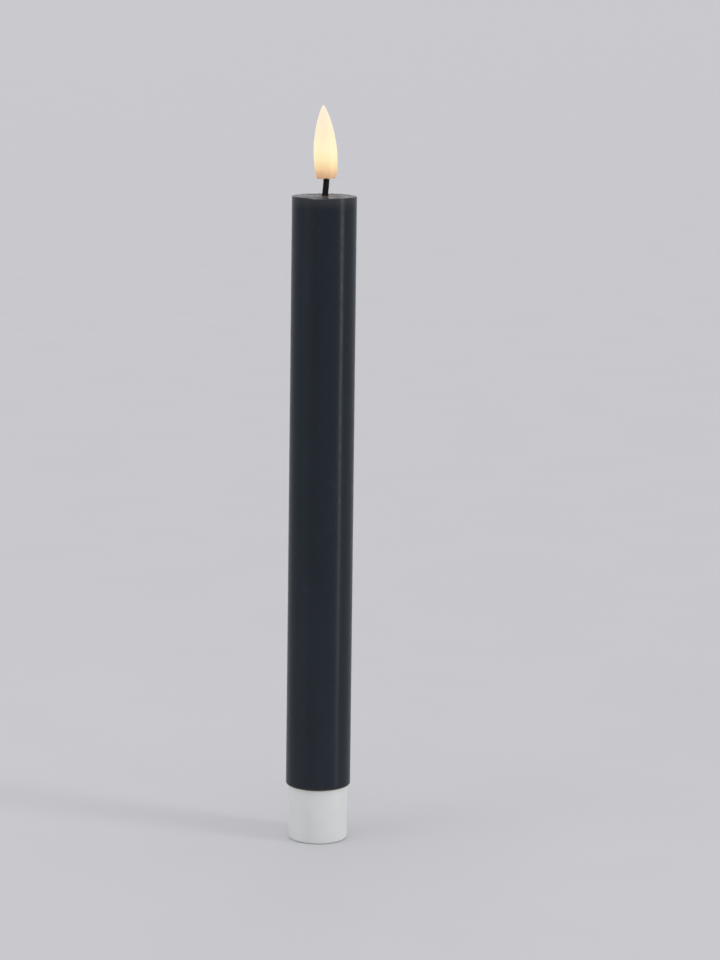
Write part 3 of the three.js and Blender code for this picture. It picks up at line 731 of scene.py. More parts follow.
def metal_material(name, tone, roughness, stretch=(1, 1, 0.05)):
    """Plated metal with fine brushing and faint tarnish."""
    paint = Paint(name, metallic=1.0)
    darker = tuple(value - 22 for value in tone)
    tarnish = paint.fade(paint.grain(1.2, detail=4), 0.4, 0.75)
    paint.colour(paint.mix(tarnish, shade(*tone), shade(*darker)))
    brushing = paint.grain(0.12, detail=3, stretch=stretch)
    paint.rough(brushing, roughness - 0.08, roughness + 0.12)
    paint.bump((brushing, 0.0015))
    return paint.material


def board_material(name, across, up):
    """Green solder mask over copper tracks; across and up name the board's own two axes."""
    paint = Paint(name, roughness=0.34)
    bent = paint.times(paint.fade(paint.grain(2.6, detail=0), 0.4, 0.6), 0.9)
    lane = paint.maths("ADD", paint.along(across), bent)
    stripes = paint.maths("PINGPONG", lane, 0.5)
    track = paint.fade(stripes, 0.3, 0.36)
    broken = paint.maths("PINGPONG", paint.along(up), 3.5)
    track = paint.times(track, paint.fade(broken, 0.3, 0.4))
    mask = paint.mix(paint.grain(3, detail=3), shade(14, 74, 42), shade(20, 90, 52))
    paint.colour(paint.mix(track, mask, shade(40, 118, 62)))
    paint.bump((track, 0.02), (paint.grain(0.3), 0.002))
    return paint.material


def moulding_material(name, tone, roughness=0.48):
    """Fine-grained matte moulding."""
    paint = Paint(name)
    lighter = tuple(value + 14 for value in tone)
    paint.colour(paint.mix(paint.grain(0.8, detail=4), shade(*tone), shade(*lighter)))
    paint.rough(paint.grain(0.6, detail=3), roughness - 0.06, roughness + 0.1)
    paint.bump((paint.grain(0.14), 0.003))
    return paint.material


def cell_material(name, bottom):
    """A printed foil wrap with a pale band under the button; the end faces are bare steel."""
    paint = Paint(name)
    up = paint.above(bottom)
    foil = paint.grain(0.3, detail=3, stretch=(1, 1, 0.08))
    wrap = paint.mix(foil, shade(38, 62, 74), shade(52, 80, 92))
    band = paint.fade(up, 34.6, 34.7)
    wrap = paint.mix(band, wrap, shade(196, 200, 202))
    rule = paint.fade(paint.maths("ABSOLUTE", paint.minus(up, 33.6)), 0.35, 0.3)
    wrap = paint.mix(rule, wrap, shade(196, 200, 202))
    x = paint.along("X")
    bare = paint.fade(paint.distance(x, paint.along("Y")), 4.56, 4.5)
    steel_tone = paint.mix(paint.grain(1.1, detail=4), shade(200, 200, 198), shade(172, 172, 170))
    paint.colour(paint.mix(bare, wrap, steel_tone))
    paint.set("Metallic", paint.fade(bare, 0, 1, 0.45, 1.0))
    paint.rough(foil, 0.26, 0.4)
    seam = paint.fade(paint.maths("ABSOLUTE", x), 0.12, 0.04)
    paint.bump((seam, 0.02), (foil, 0.001))
    return paint.material


def sleeve_material():
    """A capacitor's dark sleeve with its pale polarity stripe."""
    paint = Paint("capacitor_sleeve", roughness=0.4)
    tone = paint.mix(paint.grain(0.9, detail=3), shade(22, 24, 40), shade(34, 36, 54))
    stripe = paint.fade(paint.along("X"), 1.5, 1.56)
    dash = paint.fade(paint.maths("PINGPONG", paint.along("Z"), 0.6), 0.2, 0.25)
    stripe_tone = paint.mix(dash, shade(60, 60, 70), shade(186, 188, 190))
    paint.colour(paint.mix(stripe, tone, stripe_tone))
    paint.bump((paint.grain(0.2), 0.002))
    return paint.material


def add_world():
    """Soft light from all round, a little dimmer on one side, before an even backdrop."""
    world = bpy.data.worlds.new("studio")
    bpy.context.scene.world = world
    world.use_nodes = True
    nodes = Nodes(world.node_tree)
    direction = nodes.node("TexCoord", {}).outputs["Generated"]
    sides = {0: direction, 1: WORLD_BRIGHT_SIDE}
    facing = nodes.node("VectorMath", sides, operation="DOT_PRODUCT").outputs["Value"]
    range_of = {"Value": facing, "From Min": -1, "To Min": WORLD_DIM, "To Max": WORLD_BRIGHT}
    lighting = nodes.node("MapRange", range_of).outputs["Result"]
    seen = nodes.node("LightPath", {}).outputs["Is Camera Ray"]
    strength = nodes.node("Mix", {"Factor": seen, "A": lighting, "B": BACKDROP_STRENGTH})
    background = world.node_tree.nodes["Background"]
    background.inputs["Color"].default_value = WORLD_TONE
    nodes.feed(background.inputs["Strength"], strength.outputs["Result"])


def add_light(name, kind, place, aim, energy):
    light = add_object(name, bpy.data.lights.new(name, kind))
    light.location = Vector(place) * MM
    light.rotation_euler = Vector(aim).to_track_quat("-Z", "Y").to_euler()
    light.data.energy = energy
    return light.data


def add_lights():
    """Broad suns, and a tall softbox to the right that draws the wax's thin highlight."""
    for name, sun in SUNS.items():
        data = add_light(name, "SUN", (0, 0, 900), sun["aim"], sun["strength"])
        data.angle = math.radians(sun["spread"])
    aim = Vector((0, 0, STRIP_PLACE[2])) - Vector(STRIP_PLACE)
    strip = add_light("strip", "AREA", STRIP_PLACE, aim, STRIP_POWER)
    strip.shape = "RECTANGLE"
    strip.size, strip.size_y = (side * MM for side in STRIP_SIZE)
    strip.spread = math.radians(STRIP_SPREAD)


def add_floor():
    half = FLOOR_HALF
    corners = [(-half, -half, 0), (half, -half, 0), (half, half, 0), (-half, half, 0)]
    floor = mesh_object("floor", (corners, [(0, 1, 2, 3)]))
    paint = Paint("floor", roughness=0.6)
    clouds = paint.grain(60)
    paint.colour(paint.mix(clouds, shade(202, 202, 206), shade(206, 206, 209)))
    paint.set("Specular IOR Level", 0.2)
    floor.data.materials.append(paint.material)


# ---------- wax sleeve ----------


def lean(z):
    """How far the wick has leaned at height z."""
    share = min(1, max(0, (z - WICK_LEAN_START) / WICK_LEAN_RUN))
    share = share * share * (3 - 2 * share)
    return Vector((WICK_LEAN_X * share, WICK_LEAN_Y * share))


def wax_radius(angle, z):
    """The hand-finished outer wall: a slight taper with faint long facets."""
    up = (z - WAX_BOTTOM) / (WAX_TOP - WAX_BOTTOM)
    taper = between(WAX_BOTTOM_RADIUS, WAX_TOP_RADIUS, up)
    broad = wave(*polar(1.7, angle, 0.011 * z + 3))
    fine = wave(*polar(4.5, angle, 0.035 * z + 9))
    return taper + 0.022 * broad + 0.008 * fine


def wax_ring(angles, inset, z):
    """One ring of the outer wall, set in by inset."""
    return [polar(wax_radius(a, z) - inset, a, z) for a in angles]


def wax_top_height(x, y):
    """The top face: a low uneven collar round the wick's hollow, and faint swirls."""
    wick = lean(WAX_TOP)
    from_wick = math.hypot(x - wick.x, y - wick.y)
    bowl = 0.6 * math.exp(-((from_wick / 1.5) ** 2))
    collar = 0.2 * math.exp(-(((from_wick - 2.5 - 0.4 * wave(0.5 * x, 0.5 * y, 7)) / 0.6) ** 2))
    swirl = 0.15 * wave(0.42 * x, 0.42 * y, 2.0) + 0.06 * wave(1.3 * x, 1.3 * y, 5.0)
    dip = 0.3 * math.exp(-((x + 1.5) ** 2) / 9 - ((y + 9.5) ** 2) / 16)
    return WAX_TOP - 0.24 - bowl - dip + collar + swirl


def wick_hole(angles, slack, z):
    """A slightly uneven oval ring round the wick."""
    wick = lean(WAX_TOP)
    ring = []
    for a in angles:
        grow = slack + 0.05 * wave(*polar(3, a, 0.4 * z))
        x = wick.x + (WICK_HOLE_X + grow) * math.cos(a)
        y = wick.y + (WICK_HOLE_Y + grow) * math.sin(a)
        ring.append(Vector((x, y, z)))
    return ring


def wax_sleeve():
    """The wax: top face, rim, wall and foot outside, then the bore that takes the tube."""
    count = 180
    angles = angles_round(count)
    inner_edge = wick_hole(angles, 0.14, 0)
    rim_edge = wax_ring(angles, WAX_RIM_FILLET, WAX_TOP)
    rings = []
    for share in shares(22):
        places = [start.lerp(end, share**1.3) for start, end in zip(inner_edge, rim_edge)]
        rings.append([Vector((x, y, wax_top_height(x, y))) for x, y, _ in places])
    rim = rings[-1]
    for share in shares(6, first=1):
        turn = share * math.pi / 2
        fall = WAX_RIM_FILLET * (1 - math.cos(turn))
        ring = wax_ring(angles, WAX_RIM_FILLET * (1 - math.sin(turn)), WAX_TOP)
        rings.append([Vector((p.x, p.y, edge.z - fall)) for p, edge in zip(ring, rim)])
    wall_top = WAX_TOP - WAX_RIM_FILLET - 0.6
    for share in shares(92):
        z = between(wall_top, WAX_BOTTOM + WAX_FOOT_FILLET, share)
        rings.append(wax_ring(angles, 0, z))
    for share in shares(4, first=1):
        turn = share * math.pi / 2
        z = WAX_BOTTOM + WAX_FOOT_FILLET * (1 - math.sin(turn))
        rings.append(wax_ring(angles, WAX_FOOT_FILLET * (1 - math.cos(turn)), z))
    for z in (WAX_BOTTOM, POCKET_TOP):
        rings.append(circle(POCKET_RADIUS, z, count))
    for share in shares(2):
        rings.append(circle(WAX_BORE_RADIUS, between(POCKET_TOP, WAX_CEILING, share), count))
    rings.append(wick_hole(angles, 0.2, WAX_CEILING))
    rings.append(wick_hole(angles, 0.18, WAX_CEILING + 2.4))
    return mesh_object("wax", skin(rings, wrap=True))


# ---------- flame, lamp and wick ----------


def bezier(a, b, c, d, t):
    s = 1 - t
    return a * s**3 + 3 * b * s * s * t + 3 * c * s * t * t + d * t**3


def flame_outline(t):
    """(half width, height) of the flame: t runs from 0 at the lip to 1 at the tip."""
    if t < 0.35:
        s = t / 0.35
        width = bezier(FLAME_LIP_RADIUS, 3.62, FLAME_RADIUS, FLAME_RADIUS, s)
        return width, bezier(0.42, 1.6, 4.2, FLAME_BELLY, s)
    s = (t - 0.35) / 0.65
    width = bezier(FLAME_RADIUS, FLAME_RADIUS, 2.25, 0.42, s)
    return width, bezier(FLAME_BELLY, 13.2, 20.4, FLAME_HEIGHT - 0.34, s)


def lean_flame(point):
    """From the flame's own frame to its place on the wick."""
    end = lean(FLAME_BASE)
    tilt = Matrix.Rotation(-FLAME_LEAN, 3, "Y")
    return tilt @ Vector(point) + Vector((end.x, end.y, FLAME_BASE))


def flame():
    """A drop with a faintly scalloped lip, hollow below for the wick and the lamp."""
    count = 96
    angles = angles_round(count)
    rings = [[Vector((0, 0, FLAME_HEIGHT))]]
    tip_width, tip_height = flame_outline(1)
    for share in (0.35, 0.7):
        turn = share * math.pi / 2
        z = FLAME_HEIGHT - (FLAME_HEIGHT - tip_height) * (1 - math.cos(turn))
        rings.append(circle(tip_width * math.sin(turn), z, count))
    for share in shares(64):
        r, z = flame_outline(1 - share)
        ripples = [1 + 0.008 * wave(*polar(1.3, a, 0.22 * z)) for a in angles]
        rings.append([polar(r * ripple, a, z) for a, ripple in zip(angles, ripples)])
    for inset, z in ((0.07, 0.31), (0.22, 0.16), (0.5, 0.11), (0.9, 0.14)):
        ring = circle(FLAME_LIP_RADIUS - inset, z, count)
        scallops = [0.1 * math.cos(8 * a + 0.6) for a in angles]
        rings.append([point + Vector((0, 0, up)) for point, up in zip(ring, scallops)])
    for half_x, half_y, z in ((1.5, 1.8, 0.25), (1.38, 1.7, 0.6), (1.38, 1.7, 2.2)):
        rings.append(oval(angles, half_x, half_y, z))
    for r, z in ((2.0, 2.3), (2.0, 7.0), (1.4, 7.5)):
        rings.append(circle(r, z, count))
    rings.append([Vector((0, 0, 7.7))])
    return mesh_object("flame", reshaped(skin(rings), lean_flame))


def lamp():
    """A small lamp with a flanged foot, a flat on its flange and a domed lens."""
    flange = [(0, 2.5, 0), (1.7, 2.5, 0.1), (1.7, 3.3, 0.12)]
    lens = [(1.5, 3.3, 0.05), (1.5, 5.6, 0.2), (1.45, 7.28, 1.5), (0, 7.3, 0)]
    flat = box((-2, -1.52), (-2, 2), (2.3, 3.4))
    return moved(joined("lamp", [turned(flange + lens, 48, steps=8)], [flat]), lean_flame)


def wick_sleeve():
    """An oval shrink sleeve with fine lengthwise ribs, flared a little at the wax."""
    angles = angles_round(72)
    rings = []
    for inner in (False, True):
        for share in shares(60):
            z = between(WICK_BOTTOM, WICK_TOP, 1 - share if inner else share)
            offset = lean(z)
            flare = 0.1 * math.exp(-(((z - WAX_TOP + 0.4) / 0.7) ** 2))
            ring = []
            for a in angles:
                x, y = math.cos(a), math.sin(a)
                rib = 0.035 * math.cos(18 * a) + 0.02 * wave(*polar(4, a, 0.8 * z)) + flare
                half_x = WICK_BORE_X if inner else WICK_HALF_X + rib
                half_y = WICK_BORE_Y if inner else WICK_HALF_Y + rib
                ring.append(Vector((offset.x + half_x * x, offset.y + half_y * y, z)))
            rings.append(ring)
    return mesh_object("wick", skin(rings, wrap=True))


def lamp_wire(side):
    """From its pad on the control board, in under the plug and up inside the wick."""
    board_y, aside = -1.05, 0.5 * side
    route = [
        (LAMP_PAD_X * side, board_y, LAMP_PAD_Z - 0.6),
        (LAMP_PAD_X * side, board_y, CONTROL_TOP),
        (side, (board_y + aside) / 2, CONTROL_TOP + 2),
    ]
    for share in shares(8):
        z = between(WICK_BOTTOM - 0.6, FLAME_BASE + 2.35, share)
        offset = lean(z)
        route.append((offset.x, offset.y + aside, z))
    return insulated_wire("lamp_wire", route, 0.4, 0.2, 0.9)


# ---------- tube, plug and cells ----------


def core_tube():
    """The battery tube: threaded neck, flange, ledge, and short ribs that grip the wax."""
    profile = [
        (BAY_RADIUS, NECK_BOTTOM, 0.2),
        (NECK_RADIUS, NECK_BOTTOM, 0.4),
        (NECK_RADIUS, FLANGE_BOTTOM, 0.15),
        (FLANGE_RADIUS, FLANGE_BOTTOM, 0.2),
        (FLANGE_RADIUS, FLANGE_TOP, 0.3),
        (TUBE_RADIUS, FLANGE_TOP, 0.25),
        (TUBE_RADIUS, TUBE_TOP, 0.25),
        (UPPER_BORE_RADIUS, TUBE_TOP, 0.2),
        (UPPER_BORE_RADIUS, LEDGE_TOP, 0.2),
        (LEDGE_RADIUS, LEDGE_TOP, 0.15),
        (LEDGE_RADIUS, LEDGE_BOTTOM, 0.15),
        (BAY_RADIUS, LEDGE_BOTTOM, 0.1),
    ]
    thread = screw_thread(NECK_RADIUS, NECK_THREAD_START, NECK_THREAD_TURNS, THREAD_HEIGHT)
    reach = (TUBE_RADIUS - 0.3, TUBE_RADIUS + 0.2)
    ribs = []
    for span in RIB_SPANS:
        ribs += around(box(reach, (-0.4, 0.4), span, 0.12, 2), 6)
    return joined("core_tube", [turned(profile, 96), thread, *ribs])


def tube_plug():
    """The plug over the tube, with two slotted prongs that hold the control board."""
    low, seat, high = PLUG_BOTTOM, TUBE_TOP + 0.1, PLUG_TOP
    spigot = [(0, low, 0), (PLUG_RADIUS, low, 0.4), (PLUG_RADIUS, seat, 0.08)]
    flange = [(PLUG_FLANGE_RADIUS, seat, 0.15), (PLUG_FLANGE_RADIUS, high, 0.25), (0, high, 0)]
    prong = box((3.9, 5.2), (-1.5, 1.5), (PRONG_BOTTOM, low + 0.2), 0.3)
    body = [turned(spigot + flange, 96), *both_sides(prong)]
    slot = box((-4.7, 4.7), (-0.7, 0.7), (PRONG_BOTTOM - 1, CONTROL_TOP + 0.3))
    wick_way = prism([p.xy for p in oval(angles_round(64), 1.15, 1.5, 0)], low - 1, high + 1)
    return joined("tube_plug", body, [slot, wick_way])


def cell(bottom):
    """One cell: a wrap that turns in over both ends, a recessed end plate and a button."""
    shoulder, top = CELL_SHOULDER, CELL_BUTTON_TOP
    end_plate = [(0, 0.05, 0), (1.0, 0.05, 0.1), (1.2, 0.2, 0.1), (3.0, 0.2, 0.1)]
    rim = [(3.2, 0.0, 0.15), (4.3, 0.0, 0.15), (4.45, 0.28, 0.06)]
    wrap = [(CELL_RADIUS, 0.28, 0.55), (CELL_RADIUS, shoulder, 0.55), (4.5, shoulder, 0.12)]
    button = [(4.3, 43.15, 0.1), (1.95, 43.15, 0.15), (1.88, top, 0.35), (0, top, 0)]
    corners = end_plate + rim + wrap + button
    return mesh_object("cell", turned([(r, bottom + z, f) for r, z, f in corners], 96))


# ---------- contacts and supply wires ----------


def bay_stop():
    """The disc above the cells, with a hole and a notch for the two wires."""
    low, high, floor = STOP_BOTTOM, STOP_TOP, STOP_TOP - 0.5
    disc = [(0, low, 0), (STOP_RADIUS, low, 0.25), (STOP_RADIUS, high, 0.25)]
    recess = [(4.9, high, 0.1), (4.7, floor, 0.1), (0, floor, 0)]
    hole = rod(0.75, low - 1, high + 1, centre=(POSITIVE_HOLE_X, 0))
    notch = box((-0.9, 0.9), (4.1, 8), (low - 1, high + 1), 0.2)
    return joined("bay_stop", [turned(disc + recess, 96)], [hole, notch])


def positive_contact():
    """A dished plate with a notched rim, over the top cell's button."""
    shelf, dish = CONTACT_TOP - CONTACT_SHEET, CONTACT_BOTTOM + CONTACT_SHEET
    below = [(0, CONTACT_BOTTOM, 0), (1.2, CONTACT_BOTTOM, 0.2), (2.2, shelf, 0.25)]
    rim = [(3.4, shelf, 0.06), (3.4, CONTACT_TOP, 0.06)]
    above = [(2.05, CONTACT_TOP, 0.25), (1.05, dish, 0.2), (0, dish, 0)]
    notch = rod(0.35, shelf - 1, CONTACT_TOP + 1, centre=(3.45, 0))
    return joined("positive_contact", [turned(below + rim + above, 72)], around(notch, 4))


def return_strip():
    """A bent strip with a foot, a tab and a pressed stiffening rib up its middle."""
    inner, outer = STRIP_INNER, STRIP_INNER + STRIP_SHEET
    low, high = STRIP_BOTTOM + STRIP_SHEET, STRIP_TOP - STRIP_SHEET
    foot = [(inner, STRIP_BOTTOM, 0.35), (STRIP_FOOT_END, STRIP_BOTTOM, 0.05)]
    foot += [(STRIP_FOOT_END, low, 0.05), (outer, low, 0.15)]
    tab = [(outer, STRIP_TOP, 0.35), (STRIP_TAB_END, STRIP_TOP, 0.05)]
    tab += [(STRIP_TAB_END, high, 0.05), (inner, high, 0.15)]
    strip = prism(softened(foot + tab), -1.2, 1.2, along_x)
    up = (STRIP_BOTTOM + 4.75, STRIP_TOP - 4.3)
    rib = box((-0.35, 0.35), (outer - 0.12, outer + 0.12), up, 0.1, 2)
    return joined("return_strip", [strip, rib])


def supply_wire(route):
    return insulated_wire("supply_wire", route, 0.55, 0.26, 1.3)


POSITIVE_ROUTE = [
    (POSITIVE_HOLE_X, 0, 102.3),
    (POSITIVE_HOLE_X, 0, 105.2),
    (-3.2, -0.6, 118),
    (-1.6, 1.4, 136),
    (-2.6, -0.8, 152),
    (-SUPPLY_PAD_X, -1.15, 164),
    (-SUPPLY_PAD_X, -1.15, 169),
]
NEGATIVE_ROUTE = [
    (0, NEGATIVE_NOTCH_Y, 101.4),
    (0, NEGATIVE_NOTCH_Y, 105.2),
    (1.6, 3.2, 114),
    (3, 0.6, 132),
    (2.2, -1.4, 150),
    (SUPPLY_PAD_X, -1.15, 164),
    (SUPPLY_PAD_X, -1.15, 169),
]


# ---------- control board ----------


def control_board():
    """The upright board, with plated holes and solder joints on its face."""
    half, low, high = CONTROL_HALF, CONTROL_BOTTOM, CONTROL_TOP
    outline = [(-half, low, 0.6), (half, low, 0.6), (half, high, 0.6), (-half, high, 0.6)]
    plate = bevelled(prism(softened(outline), BOARD_FACE, BOARD_BACK, along_y), 0.06, 2)
    joints = []
    for x, z in ((SUPPLY_PAD_X, SUPPLY_PAD_Z), (LAMP_PAD_X, LAMP_PAD_Z)):
        joints += [solder_joint(0.75, 0.4, (side * x, z)) for side in (-1, 1)]
    joints += [solder_joint(0.4, 0.12, place) for place in SMALL_JOINTS]
    holes = [rod(0.25, -1, 1, place, 16, along_y) for place in VIAS]
    return joined("control_board", [plate, *joints], holes)


def solder_joint(radius, height, centre):
    """A low mound on the control board's face."""
    profile = [(0, -0.2, 0), (radius, -0.2, 0), (radius, 0.02, 0)]
    profile += [(0.55 * radius, height, 0.3 * radius), (0, height, 0)]
    x, z = centre
    return reshaped(turned(profile, 24), lambda v: (x + v.x, BOARD_FACE - v.z, z + v.y))


def is_solder(centre):
    return centre.y < BOARD_FACE - 0.02


def controller_chip():
    """A small outline package with four bent legs a side and a dimple at pin one."""
    upper = [(1.3, -1.36, 0), (1.62, -1.36, 0.08), (1.74, -0.7, 0.06), (1.95, -0.7, 0)]
    lower = [(1.95, -0.57, 0), (1.62, -0.57, 0.08), (1.5, -1.22, 0.06), (1.3, -1.22, 0)]
    leg = softened(upper + lower)
    shapes = [box((-1.42, 1.42), (-2.03, -0.72), (CHIP_BOTTOM, CHIP_TOP), 0.12)]
    for i in range(4):
        z = CHIP_BOTTOM + 0.7 + CHIP_LEG_PITCH * i
        shapes += both_sides(prism(leg, *span(z, 0.2)))
    dimple = rod(0.28, -3, -1.95, (-0.85, CHIP_TOP - 0.7), 24, along_y)
    return joined("controller_chip", shapes, [dimple])


def is_leg(centre):
    return abs(centre.x) > 1.43


def timing_crystal():
    """A small metal can on a flared foot, its two leads bent back to the board."""
    x, y, low, high = CRYSTAL_X, CRYSTAL_Y, CRYSTAL_BOTTOM, CRYSTAL_TOP
    foot = [(0, low, 0), (1.0, low, 0.05), (1.0, low + 0.25, 0.05)]
    can = [(0.9, low + 0.35, 0.05), (0.9, high, 0.3), (0, high, 0)]
    shapes = [turned(foot + can, 48, centre=(x, y))]
    for side in span(x, 0.35):
        down = [(side, y, low + 0.3), (side, y, low - 0.4)]
        back = [(side, y + 0.3, low - 0.85), (side, -0.7, low - 0.95)]
        shapes.append(lead(down + back, 0.14))
    return joined("timing_crystal", shapes)


def smoothing_capacitor():
    """A sleeved can with a crimped neck, a scored top and two short leads."""
    y, low, high = CAPACITOR_Y, CAPACITOR_BOTTOM, CAPACITOR_TOP
    crimp = low + 0.98
    foot = [(0, low, 0), (1.95, low, 0.2)]
    neck = [(1.98, crimp - 0.2, 0.1), (1.8, crimp, 0.15), (1.98, crimp + 0.25, 0.1)]
    end = [(1.98, high, 0.3), (1.55, high, 0.05), (1.5, high - 0.1, 0.05), (0, high - 0.1, 0)]
    shapes = [turned(foot + neck + end, 64, centre=(0, y))]
    for x in (-0.7, 0.7):
        down = [(x, y, low + 0.28), (x, y, low - 0.52)]
        back = [(x, y - 0.5, low - 0.92), (x, 0.7, low - 1.02)]
        shapes.append(lead(down + back, 0.2))
    top = (high - 0.2, high + 0.55)
    along = box((-1.1, 1.1), span(y, 0.08), top)
    across = box((-0.08, 0.08), span(y, 1.1), top)
    return joined("smoothing_capacitor", shapes, [along, across])


def is_bare_can(centre):
    inside = math.hypot(centre.x, centre.y - CAPACITOR_Y) < 1.56
    return centre.z < CAPACITOR_BOTTOM - 0.02 or (inside and centre.z > CAPACITOR_TOP - 0.35)


def resistor(x):
    """A ceramic block with proud metal ends."""
    low, high = RESISTOR_MIDDLE - 0.7, RESISTOR_MIDDLE + 0.7
    shapes = [box(span(x, 0.38), (-1.0, -0.6), (low, high), 0.04, 2)]
    for end in (low - 0.1, high - 0.28):
        shapes.append(box(span(x, 0.4), (-1.04, -0.56), (end, end + 0.38), 0.07, 2))
    return joined("resistor", shapes)


def is_resistor_end(centre):
    return abs(centre.z - RESISTOR_MIDDLE) > 0.43


def infrared_receiver():
    """A moulded block with a domed lens to the front and three legs."""
    block = box((-2.4, 2.4), (-3.2, -0.6), (RECEIVER_BOTTOM, RECEIVER_TOP), 0.25)
    bezel = rod(1.85, -3.42, -3.0, (0, RECEIVER_EYE), 48, along_y)
    profile = [(0, -0.4, 0), (1.6, -0.4, 0), (1.6, 0.2, 0.1), (1.5, 1.6, 1.3), (0, 1.6, 0)]
    dome = turned(profile, 48, steps=8)
    dome = reshaped(dome, lambda v: (v.x, -3.2 - v.z, RECEIVER_EYE + v.y))
    drop = (RECEIVER_BOTTOM - 0.8, RECEIVER_BOTTOM + 0.3)
    legs = [box(span(x, 0.2), (-1.2, -0.9), drop, 0.04, 2) for x in (-1.4, 0, 1.4)]
    return joined("infrared_receiver", [block, bezel, dome, *legs])


def is_receiver_leg(centre):
    return centre.z < RECEIVER_BOTTOM - 0.02


# ---------- base cap and what it carries ----------


def base_cap():
    """The white foot: a threaded cup with two screw bosses, gussets and the switch's slot."""
    profile = [
        (0, RECESS_DEPTH, 0),
        (RECESS_RADIUS - 0.25, RECESS_DEPTH, 0.25),
        (RECESS_RADIUS, 0, 0.2),
        (CAP_FOOT_RADIUS, 0, 0.85),
        (CAP_TOP_RADIUS, CAP_TOP, 0.3),
        (CAP_BORE_RADIUS, CAP_TOP, 0.45),
        (CAP_BORE_RADIUS, CAP_FLOOR, 0.7),
        (0, CAP_FLOOR, 0),
    ]
    shapes = [
        turned(profile, 144, steps=5),
        screw_thread(CAP_BORE_RADIUS, CAP_THREAD_START, CAP_THREAD_TURNS, -THREAD_HEIGHT),
    ]
    boss_top = BOARD_BOTTOM - 0.1
    boss = [(0, 2.0, 0), (1.6, 2.0, 0), (1.55, boss_top, 0.15), (0, boss_top, 0)]
    for side in (-1, 1):
        shapes.append(turned(boss, 48, centre=(0, side * SCREW_Y)))
        reach = sorted((side * 6.1, side * 8.6))
        shapes.append(box((-0.35, 0.35), reach, (2.0, 5.4), 0.12, 2))
    shapes += foot_marks()
    half = KNOB_HALF + KNOB_TRAVEL / 2 + 0.3
    slot = bevelled(box((-half, half), (-1.3, 1.3), (-1, CAP_FLOOR + 1)), 0.25, 3)
    gate = rod(0.6, RECESS_DEPTH - 1, RECESS_DEPTH + 0.12, centre=(0, 4.2))
    pilots = at_screws(0.75, CAP_FLOOR, BOARD_BOTTOM + 1)
    return joined("base_cap", shapes, [slot, *pilots, gate])


def at_screws(radius, low, high):
    """A round bar at each of the two screws."""
    return [rod(radius, low, high, centre=(0, y)) for y in (-SCREW_Y, SCREW_Y)]


def foot_marks():
    """Raised on and off marks in the recess: a bar beside the knob and a ring across from it."""
    low, high = RECESS_DEPTH - 0.18, RECESS_DEPTH + 0.2
    bar = box((3.9, 4.2), (-0.8, 0.8), (low, high), 0.05, 2)
    section = [(0.55, low, 0.05), (0.85, low, 0.05), (0.85, high, 0), (0.55, high, 0)]
    return [bar, turned(section, 40, centre=(-4.1, 0))]


def base_board():
    """A round board with screw holes, a keying notch and solder joints over the switch pins."""
    low, high = BOARD_BOTTOM, BOARD_TOP
    plate = [(0, low, 0), (BOARD_RADIUS, low, 0.08), (BOARD_RADIUS, high, 0.08), (0, high, 0)]
    foot = [(0, high - 0.2, 0), (0.4, high - 0.2, 0), (0.4, high + 0.01, 0)]
    mound = foot + [(0.15, high + 0.08, 0.1), (0, high + 0.08, 0)]
    joints = [turned(mound, 24, centre=(x, 0)) for x in SWITCH_PIN_XS]
    notch = rod(0.6, low - 1, high + 1, centre=(-BOARD_RADIUS, 0))
    holes = at_screws(0.8, low - 1, high + 1)
    return joined("base_board", [turned(plate, 96), *joints], [*holes, notch])


def is_board_solder(centre):
    return centre.z > BOARD_TOP + 0.005


def contact_ring():
    """A pressed ring of C section with a split at the front."""
    inner, outer, low, high = RING_INNER, RING_OUTER, RING_BOTTOM, RING_TOP
    outside = [(inner, low, 0.05), (outer, low, 0.3), (outer, high, 0.3), (inner, high, 0.05)]
    wall, low, high = outer - RING_SHEET, low + RING_SHEET, high - RING_SHEET
    inside = [(inner, high, 0.05), (wall, high, 0.12), (wall, low, 0.12), (inner, low, 0.05)]
    split = box((-0.2, 0.2), (-RING_OUTER - 1, -RING_INNER + 0.9), (low - 0.7, high + 0.7))
    return joined("contact_ring", [turned(outside + inside, 96)], [split])


def battery_spring():
    """A conical spring, closer wound at its two ends."""
    line = []
    for share in shares(192):
        rise = share - 0.4 * math.sin(TURN * share) / TURN
        radius = between(SPRING_WIDE, SPRING_NARROW, share)
        z = between(SPRING_BOTTOM, SPRING_TOP, rise)
        line.append(polar(radius, TURN * SPRING_TURNS * share, z))
    return mesh_object("battery_spring", swept(line, SPRING_WIRE, 14))


def base_screw(y):
    """A pan-head self-tapping screw with a cross recess."""
    body, head, seat = SCREW_RADIUS, SCREW_HEAD_RADIUS, SCREW_SEAT
    shank = [(0, SCREW_END, 0), (body, SCREW_END + 0.8, 0.05), (body, seat, 0)]
    pan = [(head, seat, 0.05), (head, seat + 0.6, 0.2), (0.75, seat + 0.9, 0.2), (0, seat + 0.9, 0)]
    ridge = thread_ridge(body, SCREW_END + 0.95, 6, 0.15, 0.5, 0.34, per_turn=32, sink=0.1)
    up = (seat + 0.4, seat + 2)
    cross = [box((-0.75, 0.75), (-0.14, 0.14), up), box((-0.14, 0.14), (-0.75, 0.75), up)]
    screw = joined("base_screw", [turned(shank + pan, 48), ridge], cross)
    return moved(screw, lambda v: v + Vector((0, y, 0)))


